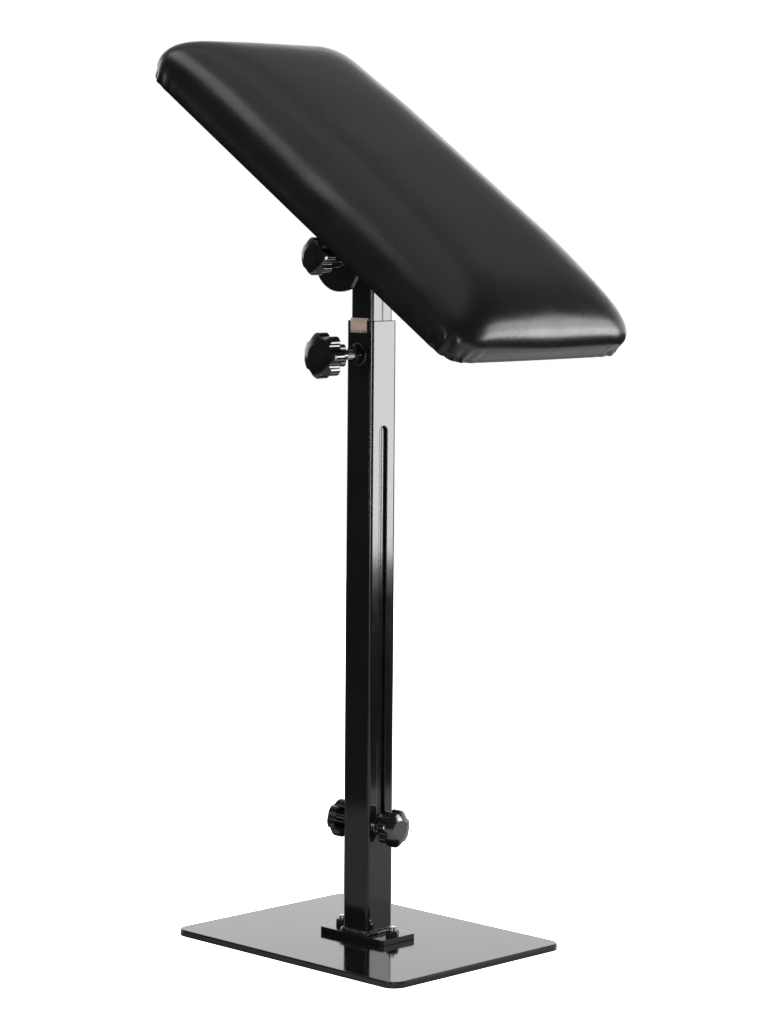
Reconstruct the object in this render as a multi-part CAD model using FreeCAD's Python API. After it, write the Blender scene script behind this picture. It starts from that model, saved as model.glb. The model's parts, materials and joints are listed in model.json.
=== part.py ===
import FreeCAD, Part

import math
import os

from FreeCAD import Placement, Rotation, Vector

# Arm rest stand for a tattoo client, in millimetres.
# Frame: +Z up, origin at the centre of the base plate's underside.
# +X is the long side of the base and the low end of the pad, and the clamp knobs face -Y.
# The stand is shown lowered: the cross stud of the mast is at the bottom of the slots.

# Base plate
base_length = 265.0
base_width = 203.0
base_thickness = 5.0
base_corner_radius = 12.0
base_edge_round = 1.2

# Foot flange of the column, with its two bolts and nuts
flange_length = 75.0
flange_width = 40.0
flange_thickness = 5.0
flange_corner_radius = 2.0
flange_bolt_inset = 7.5
foot_bolt_diameter = 6.0
foot_bolt_head_diameter = 12.0
foot_bolt_end = 3.0
foot_nut_flats = 10.0
foot_nut_height = 5.0
nut_chamfer = 0.8
foot_weld_leg = 3.5

# Mast, and the outer tube that it slides in
mast_side = 25.0
mast_wall = 1.5
mast_corner_radius = 2.5
mast_gap = 1.0
mast_above_rim = 76.0
seam_width = 1.0
seam_depth = 0.2
outer_wall = 1.5
outer_corner_radius = 3.0
outer_length = 520.0
slot_side_clearance = 0.5
slot_foot_margin = 88.0
slot_rim_margin = 88.0
cap_thickness = 2.0
cap_corner_round = 0.8
cap_plug_depth = 10.0
cap_plug_gap = 0.1

# Threaded rods, washers and the spacer inside the mast
stud_diameter = 8.0
running_gap = 0.05
washer_diameter = 20.0
washer_thickness = 1.6
washer_bore_gap = 0.3
face_gap = 0.3
stud_from_mast_end = 15.0
spacer_wall = 2.0

# Set screw at the rim, its welded nut and the folded shim
screw_below_rim = 28.0
screw_hole_gap = 0.6
set_nut_flats = 14.0
set_nut_height = 8.0
set_nut_weld_leg = 2.5
set_screw_showing = 15.0
shim_thickness = 0.6
shim_width = 19.0
shim_outer_drop = 10.0
shim_inner_drop = 46.0
shim_gap = 0.1
shim_fold_rise = 0.8

# Toothed discs of the tilting joint
pivot_below_top = 22.0
disc_radius = 19.0
disc_recess_radius = 9.0
disc_recess_depth = 0.8
mast_disc_body = 11.0
bracket_disc_body = 5.2
tooth_count = 30
tooth_height = 3.4
tooth_flat = 0.3
disc_weld_leg = 3.0

# Bracket of the pad: a plate with one ear, and a lip folded in from the ear
sheet = 4.0
bend_inner_radius = 2.0
pad_seat_height = 42.0
plate_high_reach = 57.0
plate_low_reach = 30.0
plate_far_reach = 24.0
plate_corner_radius = 3.0
plate_cut_along = 13.0
plate_cut_across = 7.5
ear_half_width = 26.0
ear_end_radius = 29.5
ear_relief = 2.0
lip_length = 13.5
lip_mast_gap = 3.5
bracket_screw_diameter = 6.0
bracket_screw_head_diameter = 12.0
bracket_screw_head_height = 3.2
bracket_screw_end_inset = 11.5
bracket_screw_low_inset = 10.0
bracket_screw_far_inset = 8.0
bracket_screw_near_inset = 11.6
recess_width = 1.3
recess_span = 6.0
recess_depth = 1.6

# Pad
pad_tilt = 33.0
pad_length = 430.0
pad_width = 214.0
pad_corner_radius = 22.0
pad_height = 52.0
pad_shift = 13.0
cover_thickness = 1.2
cover_turn_in = 22.0
board_thickness = 12.0
board_inset = 9.0
back_thickness = 0.8
back_inset = 13.0
staple_span = 11.0
staple_wire = 1.0
staple_leg = 6.0
staple_inset = 8.0
staple_pitch = 42.0
tee_barrel_diameter = 8.0
tee_flange_diameter = 18.0
tee_flange_thickness = 1.4

# Outline of the pad from its underside to its crown, in even steps along the curve:
# share of the height, and how far the line lies inside the widest one as a share of the width
pad_line_shares = (
    (0.00, 0.024),
    (0.22, 0.001),
    (0.48, 0.012),
    (0.73, 0.052),
    (0.88, 0.118),
    (0.96, 0.200),
    (1.00, 0.300),
)

# Star knobs: lobes and flutes as shares of the radius that they are cut in
lobe_count = 7
lobe_share = 0.26
valley_share = 0.80
flute_share = 0.30
flute_valley_share = 0.87
crown_radius_share = 0.62
shoulder_height_share = 0.62
crown_height_share = 0.94
screw_shoulder_share = 0.88
insert_wall = 1.6
insert_depth = 7.0
insert_proud = 0.4
stud_in_knob = 11.0
stud_hole_spare = 2.0
set_knob_radius = 19.5
set_knob_head = 15.0
set_knob_hub = 12.5
set_knob_hub_radius = 11.0
pivot_knob_radius = 16.0
pivot_knob_head = 14.5
pivot_knob_hub = 16.0
height_knob_radius = 16.0
height_knob_head = 12.5
height_knob_hub = 8.0
small_hub_radius = 9.0

# How far every cut runs past the face that it goes through
overrun = 1.0

# Levels and places that follow from the sizes above
foot_level = base_thickness + flange_thickness
rim_level = foot_level + outer_length
outer_side = mast_side + 2 * (mast_gap + outer_wall)
stud_radius = stud_diameter / 2
slot_width = stud_diameter + 2 * slot_side_clearance
slot_foot_level = foot_level + slot_foot_margin
slot_rim_level = rim_level - slot_rim_margin
height_stud_level = slot_foot_level + slot_width / 2
mast_foot_level = height_stud_level - stud_from_mast_end
mast_top_level = rim_level + mast_above_rim
pivot_level = mast_top_level - pivot_below_top
screw_level = rim_level - screw_below_rim
mast_disc_crown = mast_side / 2 + mast_disc_body + tooth_height - tooth_flat
ear_inner = mast_disc_crown + face_gap + tooth_height - tooth_flat + bracket_disc_body
ear_outer = ear_inner + sheet
bend_outer_radius = bend_inner_radius + sheet
plate_under = pad_seat_height - sheet
board_under = pad_seat_height + back_thickness + cover_thickness
board_corner_radius = pad_corner_radius - board_inset
set_knob_start = outer_side / 2 + set_nut_height + set_screw_showing
pivot_washer_start = ear_outer + face_gap
pivot_knob_start = pivot_washer_start + washer_thickness + face_gap + insert_proud
height_washer_start = outer_side / 2 + face_gap
height_knob_start = height_washer_start + washer_thickness + face_gap + insert_proud

UP = Vector(0, 0, 1)
AXIS_X = Vector(1, 0, 0)
AXIS_Y = Vector(0, 1, 0)
PIVOT = Vector(0, 0, pivot_level)


# Helpers
def box(x0, x1, y0, y1, z0, z1):
    """A block between two values on each axis."""
    return Part.makeBox(x1 - x0, y1 - y0, z1 - z0, Vector(x0, y0, z0))


def rod(radius, z0, z1, centre=Vector(0, 0, 0)):
    """A cylinder along Z between two levels."""
    return Part.makeCylinder(radius, z1 - z0, centre + UP * z0)


def toward(direction, origin=Vector(0, 0, 0)):
    """The placement that turns +Z to the direction and moves the origin."""
    return Placement(origin, Rotation(UP, direction))


def placed(shape, placement):
    """A copy of the shape moved by the placement."""
    return shape.transformed(placement.toMatrix(), True)


def tilted(shape):
    """A shape of the pad's own frame, turned to the rest tilt about the pivot."""
    return placed(shape, Placement(PIVOT, Rotation(AXIS_Y, pad_tilt)))


def corner_wire(corners):
    """A closed wire through (x, y, radius) corners, each rounded by its own radius."""
    places = [Vector(x, y, 0) for x, y, radius in corners]
    edges = []
    ends = []
    for i, (x, y, radius) in enumerate(corners):
        here = places[i]
        back = (places[i - 1] - here).normalize()
        onward = (places[(i + 1) % len(places)] - here).normalize()
        half = back.getAngle(onward) / 2
        reach = radius / math.tan(half)
        start = here + back * reach
        end = here + onward * reach
        if radius > 0:
            middle_way = (back + onward).normalize()
            middle = here + middle_way * (radius / math.sin(half) - radius)
            edges.append(Part.Arc(start, middle, end).toShape())
        ends.append((start, end))
    for i, (start, end) in enumerate(ends):
        following = ends[(i + 1) % len(ends)][0]
        if end.distanceToPoint(following) > Part.Precision.confusion():
            edges.append(Part.makeLine(end, following))
    return Part.Wire(Part.__sortEdges__(edges))


def rectangle(length, width, radius):
    """Corners of a rectangle about the origin, all rounded alike."""
    x, y = length / 2, width / 2
    return [(-x, -y, radius), (x, -y, radius), (x, y, radius), (-x, y, radius)]


def slab(corners, z0, z1):
    """The corners' outline raised between two levels."""
    wire = corner_wire(corners)
    wire.translate(UP * z0)
    return Part.Face(wire).extrude(UP * (z1 - z0))


def turned(edges):
    """The solid of a closed profile in the XZ plane, turned about Z."""
    face = Part.Face(Part.Wire(edges))
    return face.revolve(Vector(0, 0, 0), UP, 360)


def lines(points):
    """Straight edges through (radius, level) points of a profile."""
    places = [Vector(r, 0, z) for r, z in points]
    return [Part.makeLine(a, b) for a, b in zip(places, places[1:])]


def hexagon(flats, z0, z1):
    """A six-sided prism along Z, by its size across flats."""
    radius = flats / math.sqrt(3)
    points = [
        Vector(radius * math.cos(math.radians(60 * i)), radius * math.sin(math.radians(60 * i)), z0)
        for i in range(7)
    ]
    return Part.Face(Part.makePolygon(points)).extrude(UP * (z1 - z0))


def nut(flats, bore_radius, height):
    """A hexagon nut on Z from level 0, chamfered on its upper face."""
    radius = flats / math.sqrt(3)
    envelope = Part.makeCone(radius + nut_chamfer, radius - nut_chamfer, height + nut_chamfer)
    body = hexagon(flats, 0, height).common(envelope.fuse(rod(radius + nut_chamfer, 0, height / 2)))
    return body.cut(rod(bore_radius, -overrun, height + overrun))


def square_tube(side, wall, radius, z0, z1):
    """A square tube with rounded corners."""
    outside = slab(rectangle(side, side, radius), z0, z1)
    inside_side = side - 2 * wall
    inside = slab(rectangle(inside_side, inside_side, radius - wall), z0 - overrun, z1 + overrun)
    return outside.cut(inside)


# Foot of the stand
def flange_bolt_places():
    """Where the two foot bolts stand."""
    reach = flange_length / 2 - flange_bolt_inset
    return [Vector(side * reach, 0, 0) for side in (-1, 1)]


def countersink(z_top):
    """The cone of a flush bolt head that closes at the underside of the base."""
    depth = (foot_bolt_head_diameter - foot_bolt_diameter) / 2
    return Part.makeCone(foot_bolt_head_diameter / 2, foot_bolt_diameter / 2, min(depth, z_top))


def make_base_plate():
    """Steel plate that lies on the floor, with softened edges."""
    plate = slab(rectangle(base_length, base_width, base_corner_radius), 0, base_thickness)
    top = [e for e in plate.Edges if e.BoundBox.ZMin > base_thickness - base_edge_round]
    plate = plate.makeFillet(base_edge_round, top)
    for place in flange_bolt_places():
        hole = rod(foot_bolt_diameter / 2, -overrun, base_thickness + overrun)
        sunk = countersink(base_thickness)
        plate = plate.cut([s.translated(place) for s in (hole, sunk)])
    return plate


def make_foot_flange():
    """Small plate that is welded to the column and bolted to the base."""
    outline = rectangle(flange_length, flange_width, flange_corner_radius)
    plate = slab(outline, base_thickness, foot_level)
    for place in flange_bolt_places():
        plate = plate.cut(rod(foot_bolt_diameter / 2, 0, foot_level + overrun, place))
    return plate


def make_foot_bolts():
    """Two flush bolts that come up through the base and the flange."""
    top = foot_level + foot_nut_height + foot_bolt_end
    shank = rod(foot_bolt_diameter / 2, 0, top)
    bolt = shank.fuse(countersink(base_thickness)).removeSplitter()
    return Part.makeCompound([bolt.translated(place) for place in flange_bolt_places()])


def make_foot_nuts():
    """The nuts on the flange."""
    one = nut(foot_nut_flats, foot_bolt_diameter / 2, foot_nut_height)
    nuts = [one.translated(place + UP * foot_level) for place in flange_bolt_places()]
    return Part.makeCompound(nuts)


def make_foot_weld():
    """Sloping bead of weld round the foot of the outer tube."""
    wide = outer_side + 2 * foot_weld_leg
    low = corner_wire(rectangle(wide, wide, outer_corner_radius + foot_weld_leg))
    high = corner_wire(rectangle(outer_side, outer_side, outer_corner_radius))
    high.translate(UP * foot_weld_leg)
    bead = Part.makeLoft([low, high], True, True)
    core = slab(rectangle(outer_side, outer_side, outer_corner_radius), -overrun, foot_weld_leg + overrun)
    return bead.cut(core).translated(UP * foot_level)


# Column
def slot_cutter():
    """The long slot of the height adjustment, through both X sides."""
    reach = outer_side / 2 + overrun
    middle = slot_rim_level - slot_foot_level
    flat = slab(
        rectangle(middle, slot_width, slot_width / 2 - Part.Precision.confusion()), -reach, reach
    )
    turned_up = placed(flat, Placement(Vector(0, 0, 0), Rotation(AXIS_Y, 90)))
    return turned_up.translated(UP * (slot_foot_level + middle / 2))


def make_outer_tube():
    """Square tube of the column with its two slots and the set screw hole."""
    tube = square_tube(outer_side, outer_wall, outer_corner_radius, foot_level, rim_level)
    hole = rod(stud_radius + screw_hole_gap, 0, outer_side)
    hole = placed(hole, toward(-AXIS_Y, UP * screw_level))
    return tube.cut(slot_cutter()).cut(hole)


def make_set_nut():
    """Nut welded over the set screw hole."""
    one = nut(set_nut_flats, stud_radius + running_gap, set_nut_height)
    return placed(one, toward(-AXIS_Y, Vector(0, -outer_side / 2, screw_level)))


def ring_bead(inner_radius, leg):
    """A round bead of weld on Z from level 0, sloping up to the inner radius."""
    profile = [(inner_radius, 0), (inner_radius + leg, 0), (inner_radius, leg), (inner_radius, 0)]
    return turned(lines(profile))


def make_set_nut_weld():
    """Bead that joins the nut to the outer tube."""
    bead = ring_bead(set_nut_flats / 2, set_nut_weld_leg + nut_chamfer)
    bead = bead.cut(hexagon(set_nut_flats, -overrun, set_nut_height))
    return placed(bead, toward(-AXIS_Y, Vector(0, -outer_side / 2, screw_level)))


def make_clamp_shim():
    """Thin strip folded over the rim, between the set screw and the mast."""
    inner = mast_side / 2 + shim_gap
    outer = outer_side / 2 + shim_gap + shim_thickness
    bend_radius = (outer - inner) / 2
    bend_level = rim_level + shim_fold_rise
    half = shim_width / 2
    centre = Vector(-half, -(inner + outer) / 2, bend_level)
    fold = Part.makeCylinder(bend_radius, shim_width, centre, AXIS_X)
    fold = fold.cut(Part.makeCylinder(bend_radius - shim_thickness, shim_width, centre, AXIS_X))
    fold = fold.common(box(-half, half, -outer, -inner, bend_level, bend_level + outer))
    inside = box(-half, half, -(inner + shim_thickness), -inner, rim_level - shim_inner_drop, bend_level)
    outside = box(-half, half, -outer, shim_thickness - outer, rim_level - shim_outer_drop, bend_level)
    return fold.fuse([inside, outside]).removeSplitter()


# Mast
def make_mast_tube():
    """Sliding square tube, with a seam line down both X sides."""
    tube = square_tube(mast_side, mast_wall, mast_corner_radius, mast_foot_level, mast_top_level)
    half = mast_side / 2
    cuts = [
        Part.makeCylinder(
            stud_radius, mast_side + 2 * overrun, Vector(-half - overrun, 0, height_stud_level), AXIS_X
        )
    ]
    for side in (-1, 1):
        face = side * half
        near, far = sorted((face - side * seam_depth, face + side * overrun))
        level = mast_foot_level - overrun
        cuts.append(box(near, far, -seam_width / 2, seam_width / 2, level, mast_top_level + overrun))
    return tube.cut(cuts)


def make_mast_cap():
    """Plastic plug that closes the top of the mast."""
    top = mast_top_level + cap_thickness
    lid = slab(rectangle(mast_side, mast_side, mast_corner_radius), mast_top_level, top)
    rim = [e for e in lid.Edges if e.BoundBox.ZMin > top - cap_corner_round]
    lid = lid.makeChamfer(cap_corner_round, rim)
    side = mast_side - 2 * (mast_wall + cap_plug_gap)
    radius = mast_corner_radius - mast_wall
    plug = slab(rectangle(side, side, radius), mast_top_level - cap_plug_depth, mast_top_level)
    return lid.fuse(plug).removeSplitter()


def tooth_gap_cutter(level, phase):
    """One V-shaped gap of a toothed face: a wedge from the axis out past the rim."""
    reach = 1 + overrun / disc_radius
    half_step = math.radians(180 / tooth_count)
    rise = tooth_height / 2 * reach
    radius = disc_radius * reach
    middle = math.radians(phase)
    apex = Vector(0, 0, level)

    def rim_point(angle, z):
        return Vector(radius * math.cos(angle), radius * math.sin(angle), z)

    root = rim_point(middle, level - rise)
    left = rim_point(middle - half_step, level + rise)
    right = rim_point(middle + half_step, level + rise)
    sides = [(apex, left, root), (apex, root, right), (apex, right, left), (left, right, root)]
    faces = [Part.Face(Part.makePolygon([a, b, c, a])) for a, b, c in sides]
    return Part.Solid(Part.Shell(faces))


def toothed_disc(body, bore_radius, phase):
    """A disc on Z from level 0 whose upper face is a ring of radial teeth."""
    middle = body + tooth_height / 2
    rim_crown = body + tooth_height - tooth_flat
    share = disc_recess_radius / disc_radius
    inner_crown = middle + tooth_height / 2 * share - tooth_flat
    floor = middle - tooth_height / 2 * share - disc_recess_depth
    profile = [
        (bore_radius, 0),
        (disc_radius, 0),
        (disc_radius, rim_crown),
        (disc_recess_radius, inner_crown),
        (disc_recess_radius, floor),
        (bore_radius, floor),
        (bore_radius, 0),
    ]
    disc = turned(lines(profile))
    step = 360 / tooth_count
    return disc.cut([tooth_gap_cutter(middle, phase + step * i) for i in range(tooth_count)])


def make_mast_disc():
    """Toothed disc welded to the mast."""
    disc = toothed_disc(mast_disc_body, stud_radius, 0)
    return placed(disc, toward(-AXIS_Y, PIVOT - AXIS_Y * (mast_side / 2)))


def make_disc_weld():
    """Two arcs of weld where the rim of the disc crosses the face of the mast."""
    bead = ring_bead(disc_radius, disc_weld_leg)
    across = mast_side / 2 - mast_corner_radius
    reach = disc_radius + disc_weld_leg
    bead = bead.common(box(-across, across, -reach, reach, 0, disc_weld_leg))
    return placed(bead, Placement(PIVOT - AXIS_Y * (mast_side / 2), Rotation(AXIS_X, 90)))


def make_pivot_stud():
    """Threaded stud that stands in the mast disc and carries the bracket."""
    start = mast_side / 2
    end = pivot_knob_start + stud_in_knob
    return placed(rod(stud_radius, start, end), toward(-AXIS_Y, PIVOT))


def make_height_stud():
    """Threaded rod across the foot of the mast, through both slots."""
    reach = height_knob_start + stud_in_knob
    stud = rod(stud_radius, -reach, reach)
    return placed(stud, toward(AXIS_X, UP * height_stud_level))


def make_stud_spacer():
    """Sleeve on the rod that keeps the knobs from crushing the mast."""
    reach = mast_side / 2 - mast_wall
    sleeve = rod(stud_radius + spacer_wall, -reach, reach)
    sleeve = sleeve.cut(rod(stud_radius, -reach - overrun, reach + overrun))
    return placed(sleeve, toward(AXIS_X, UP * height_stud_level))


# Bracket, in the pad's own frame: origin on the pivot axis, +Z square to the pad,
# +X toward the low end of the pad
def quarter_bend(length):
    """A quarter of the bent sheet, along Z, between the +X and the +Y side of its centre."""
    ring = rod(bend_outer_radius, 0, length).cut(rod(bend_inner_radius, -overrun, length + overrun))
    return ring.common(box(0, bend_outer_radius, 0, bend_outer_radius, 0, length))


def bracket_plate():
    """The plate under the pad, with one corner cut off and room beside the ear."""
    low, high = plate_low_reach, -plate_high_reach
    near, far = -ear_outer, plate_far_reach
    round_off = plate_corner_radius
    corners = [
        (high, near + plate_cut_across, 0),
        (high + plate_cut_along, near, 0),
        (low, near, round_off),
        (low, far, round_off),
        (high, far, round_off),
    ]
    plate = slab(corners, plate_under, pad_seat_height)
    room = ear_half_width + ear_relief
    bend_edge = bend_outer_radius - ear_outer
    below, above = plate_under - overrun, pad_seat_height + overrun
    notches = [
        box(-room, -ear_half_width, near - overrun, bend_edge + ear_relief, below, above),
        box(ear_half_width, room, near - overrun, bend_edge + ear_relief, below, above),
        box(-ear_half_width, ear_half_width, near - overrun, bend_edge, below, above),
    ]
    return plate.cut(notches)


def bracket_ear():
    """The ear: straight sides, an end round the pivot, and the bend up to the plate."""
    drop = math.sqrt(ear_end_radius ** 2 - ear_half_width ** 2)
    bend_level = pad_seat_height - bend_outer_radius
    corners = [
        Vector(-ear_half_width, 0, bend_level),
        Vector(-ear_half_width, 0, -drop),
        Vector(ear_half_width, 0, -drop),
        Vector(ear_half_width, 0, bend_level),
    ]
    arc = Part.Arc(corners[1], Vector(0, 0, -ear_end_radius), corners[2]).toShape()
    wire = Part.Wire([
        Part.makeLine(corners[0], corners[1]),
        arc,
        Part.makeLine(corners[2], corners[3]),
        Part.makeLine(corners[3], corners[0]),
    ])
    ear = Part.Face(wire).extrude(-AXIS_Y * sheet).translated(-AXIS_Y * ear_inner)
    bend = placed(quarter_bend(2 * ear_half_width), Placement(
        Vector(-ear_half_width, bend_outer_radius - ear_outer, bend_level),
        Rotation(UP, -AXIS_Y, AXIS_X, "ZXY"),
    ))
    return ear.fuse(bend)


def bracket_lip():
    """The lip folded in from the high side of the ear, over the discs."""
    edge = -ear_half_width
    bend_y = bend_outer_radius - ear_outer
    bend = placed(quarter_bend(lip_length), Placement(
        Vector(edge + bend_outer_radius, bend_y, 0), Rotation(UP, 180)
    ))
    tip = -(mast_side / 2 + lip_mast_gap)
    return bend.fuse(box(edge, edge + sheet, bend_y, tip, 0, lip_length))


def bracket_screw_places():
    """The four screws of the plate, as places on its underside."""
    xs = (bracket_screw_end_inset - plate_high_reach, plate_low_reach - bracket_screw_low_inset)
    ys = (bracket_screw_near_inset - ear_outer, plate_far_reach - bracket_screw_far_inset)
    return [Vector(x, y, plate_under) for x in xs for y in ys]


def make_pad_bracket():
    """Bent steel bracket of the pad."""
    edge = -ear_half_width
    lip_room = box(
        edge - overrun, edge + bend_outer_radius, -ear_outer - overrun, -ear_inner + overrun, 0, lip_length
    )
    bracket = bracket_ear().cut(lip_room).fuse([bracket_plate(), bracket_lip()]).removeSplitter()
    bore = placed(rod(stud_radius + running_gap, 0, ear_outer + overrun), toward(-AXIS_Y))
    holes = [
        rod(bracket_screw_diameter / 2, -overrun, sheet + overrun, place) for place in bracket_screw_places()
    ]
    return tilted(bracket.cut([bore] + holes))


def make_bracket_disc():
    """Toothed disc fixed to the inside of the ear."""
    half_step = 180 / tooth_count
    disc = toothed_disc(bracket_disc_body, stud_radius + running_gap, half_step)
    return placed(disc, toward(AXIS_Y, PIVOT - AXIS_Y * ear_inner))


def make_bracket_screws():
    """Four round-headed screws with cross recesses, heads on the plate's underside."""
    radius = bracket_screw_head_diameter / 2
    height = bracket_screw_head_height
    rim = Vector(radius, 0, -height / 3)
    crown = Vector(0, 0, -height)
    shoulder = Vector(radius * screw_shoulder_share, 0, -height * shoulder_height_share)
    profile = [
        Part.makeLine(Vector(0, 0, 0), Vector(radius, 0, 0)),
        Part.makeLine(Vector(radius, 0, 0), rim),
        Part.Arc(rim, shoulder, crown).toShape(),
        Part.makeLine(crown, Vector(0, 0, 0)),
    ]
    shank_top = board_under + board_thickness - plate_under
    screw = turned(profile).fuse(rod(bracket_screw_diameter / 2, 0, shank_top)).removeSplitter()
    long, short = recess_span / 2, recess_width / 2
    floor = recess_depth - height
    recess = box(-long, long, -short, short, -height - overrun, floor)
    recess = recess.fuse(box(-short, short, -long, long, -height - overrun, floor))
    screw = screw.cut(recess)
    return tilted(Part.makeCompound([screw.translated(place) for place in bracket_screw_places()]))


def make_tee_nuts():
    """Nuts pressed into the board from the foam side."""
    top = board_under + board_thickness
    bore = bracket_screw_diameter / 2
    nuts = []
    for place in bracket_screw_places():
        centre = Vector(place.x, place.y, 0)
        barrel = rod(tee_barrel_diameter / 2, board_under, top, centre)
        collar = rod(tee_flange_diameter / 2, top, top + tee_flange_thickness, centre)
        hole = rod(bore, board_under - overrun, top + tee_flange_thickness + overrun, centre)
        nuts.append(barrel.fuse(collar).removeSplitter().cut(hole))
    return tilted(Part.makeCompound(nuts))


# Pad, in the same frame as the bracket
def pad_body(inset, under, crown, faceted=False):
    """The cushion's form: a loft through rounded lines from the underside to the crown."""
    wires = []
    for height_share, inset_share in pad_line_shares:
        inward = inset + inset_share * pad_width
        corners = rectangle(pad_length - 2 * inward, pad_width - 2 * inward, pad_corner_radius)
        wire = corner_wire(corners)
        wire.translate(UP * (under + height_share * (crown - under)) - AXIS_Y * pad_shift)
        wires.append(wire)
    return Part.makeLoft(wires, True, faceted)


def pad_slab(inset, radius, z0, z1):
    """A flat sheet or board of the pad, set in from the widest line."""
    outline = rectangle(pad_length - 2 * inset, pad_width - 2 * inset, radius)
    return slab(outline, z0, z1).translated(-AXIS_Y * pad_shift)


def board_block():
    """The board without its holes."""
    return pad_slab(board_inset, board_corner_radius, board_under, board_under + board_thickness)


def pad_outside():
    """The whole cushion, from the turned-in hem to the crown."""
    under = pad_seat_height + back_thickness
    return pad_body(0, under, pad_seat_height + pad_height)


def pad_core():
    """What the cover holds: the cushion's form less the cover's thickness."""
    crown = pad_seat_height + pad_height - cover_thickness
    return pad_body(cover_thickness, board_under, crown, True).fuse(board_block())


def make_pad_board():
    """Plywood board that carries the foam, with holes for the four nuts."""
    holes = [
        rod(tee_barrel_diameter / 2, board_under - overrun, board_under + board_thickness + overrun,
            Vector(place.x, place.y, 0))
        for place in bracket_screw_places()
    ]
    return tilted(board_block().cut(holes))


def make_pad_foam():
    """Foam block over the board and its edges."""
    foam = pad_core().cut(board_block())
    top = board_under + board_thickness
    pockets = [
        rod(tee_flange_diameter / 2, top - overrun, top + tee_flange_thickness, Vector(p.x, p.y, 0))
        for p in bracket_screw_places()
    ]
    return tilted(foam.cut(pockets))


def make_pad_cover():
    """Leatherette over the foam, turned in under the edge of the board."""
    window_inset = board_inset + cover_turn_in
    window_radius = max(board_corner_radius - cover_turn_in / 2, cover_thickness)
    window = pad_slab(window_inset, window_radius, pad_seat_height, board_under + overrun)
    return tilted(pad_outside().cut([pad_core(), window]))


def make_pad_back():
    """Sheet stapled over the back of the board, with holes for the screws."""
    sheet_top = pad_seat_height + back_thickness
    radius = board_corner_radius - back_inset + board_inset
    back = pad_slab(back_inset, radius, pad_seat_height, sheet_top)
    holes = [
        rod(bracket_screw_diameter / 2, 0, sheet_top + overrun, Vector(place.x, place.y, 0))
        for place in bracket_screw_places()
    ]
    return tilted(back.cut(holes))


def staple():
    """One staple on Z from level 0: a crown along X on the sheet and two legs up."""
    half = staple_span / 2
    wire = staple_wire / 2
    crown = box(-half, half, -wire, wire, -staple_wire, 0)
    legs = [
        box(x - wire, x + wire, -wire, wire, -staple_wire, staple_leg)
        for x in (wire - half, half - wire)
    ]
    return crown.fuse(legs).removeSplitter()


def staple_row(length):
    """Even places along one side of the sheet, about one pitch apart."""
    count = max(int(length / staple_pitch), 1)
    step = length / count
    return [step * (i + 1 / 2) - length / 2 for i in range(count)]


def make_pad_staples():
    """Staples round the edge of the back sheet."""
    inset = back_inset + staple_inset
    x = pad_length / 2 - inset
    y = pad_width / 2 - inset
    one = staple()
    across = placed(one, Placement(Vector(0, 0, 0), Rotation(UP, 90)))
    level = pad_seat_height
    staples = []
    for side in (-1, 1):
        for along in staple_row(2 * x - pad_corner_radius):
            staples.append(one.translated(Vector(along, side * y - pad_shift, level)))
        for along in staple_row(2 * y - pad_corner_radius):
            staples.append(across.translated(Vector(side * x, along - pad_shift, level)))
    return tilted(Part.makeCompound(staples))


# Knobs, each on Z from its hub end at level 0
def lobed_face(tip_radius, lobe_radius, floor_radius):
    """A closed outline of round lobes joined by round valleys."""
    reach = tip_radius - lobe_radius
    half_step = math.pi / lobe_count
    spread = reach * math.cos(half_step)
    top = lobe_radius ** 2 - reach ** 2 - floor_radius ** 2 + 2 * floor_radius * spread
    valley_radius = top / (2 * (floor_radius - spread - lobe_radius))
    valley_reach = floor_radius + valley_radius

    def polar(radius, angle):
        return Vector(radius * math.cos(angle), radius * math.sin(angle), 0)

    edges = []
    for i in range(lobe_count):
        angle = 2 * half_step * i
        centre = polar(reach, angle)
        joints = []
        for side in (-1, 1):
            valley = polar(valley_reach, angle + side * half_step)
            joints.append(centre + (valley - centre).normalize() * lobe_radius)
        edges.append(Part.Arc(joints[0], polar(tip_radius, angle), joints[1]).toShape())
        next_centre = polar(reach, angle + 2 * half_step)
        valley = polar(valley_reach, angle + half_step)
        following = next_centre + (valley - next_centre).normalize() * lobe_radius
        edges.append(Part.Arc(joints[1], polar(floor_radius, angle + half_step), following).toShape())
    return Part.Face(Part.Wire(edges))


def knob_head(radius, depth):
    """Domed head with lobes round its edge."""
    shoulder = Vector(radius, 0, depth * shoulder_height_share)
    bend = Vector(radius * crown_radius_share, 0, depth * crown_height_share)
    crown = Vector(0, 0, depth)
    profile = lines([(0, 0), (radius, 0), (radius, shoulder.z)])
    profile.append(Part.Arc(shoulder, bend, crown).toShape())
    profile.append(Part.makeLine(crown, Vector(0, 0, 0)))
    outline = lobed_face(radius, radius * lobe_share, radius * valley_share)
    return turned(profile).common(outline.extrude(UP * depth))


def knob_hub(radius, depth):
    """Fluted hub between the head and the stud."""
    outline = lobed_face(radius, radius * flute_share, radius * flute_valley_share)
    return outline.extrude(UP * depth)


def star_knob(radius, head, hub, hub_radius, seat_radius, seat_depth):
    """A star knob with a seat for its insert and a hole for the end of the stud."""
    body = knob_hub(hub_radius, hub).fuse(knob_head(radius, head).translated(UP * hub))
    seat = rod(seat_radius, -overrun, seat_depth)
    hole = rod(stud_radius + running_gap, -overrun, stud_in_knob + stud_hole_spare)
    return body.removeSplitter().cut([seat, hole])


def insert_bush():
    """Threaded metal bush of a knob, a little proud of the hub."""
    bush = rod(stud_radius + insert_wall, -insert_proud, insert_depth)
    return bush.cut(rod(stud_radius + running_gap, -insert_proud - overrun, insert_depth + overrun))


def clamp_knob(radius, head, hub):
    """A star knob that runs on a fixed stud."""
    return star_knob(radius, head, hub, small_hub_radius, stud_radius + insert_wall, insert_depth)


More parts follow.
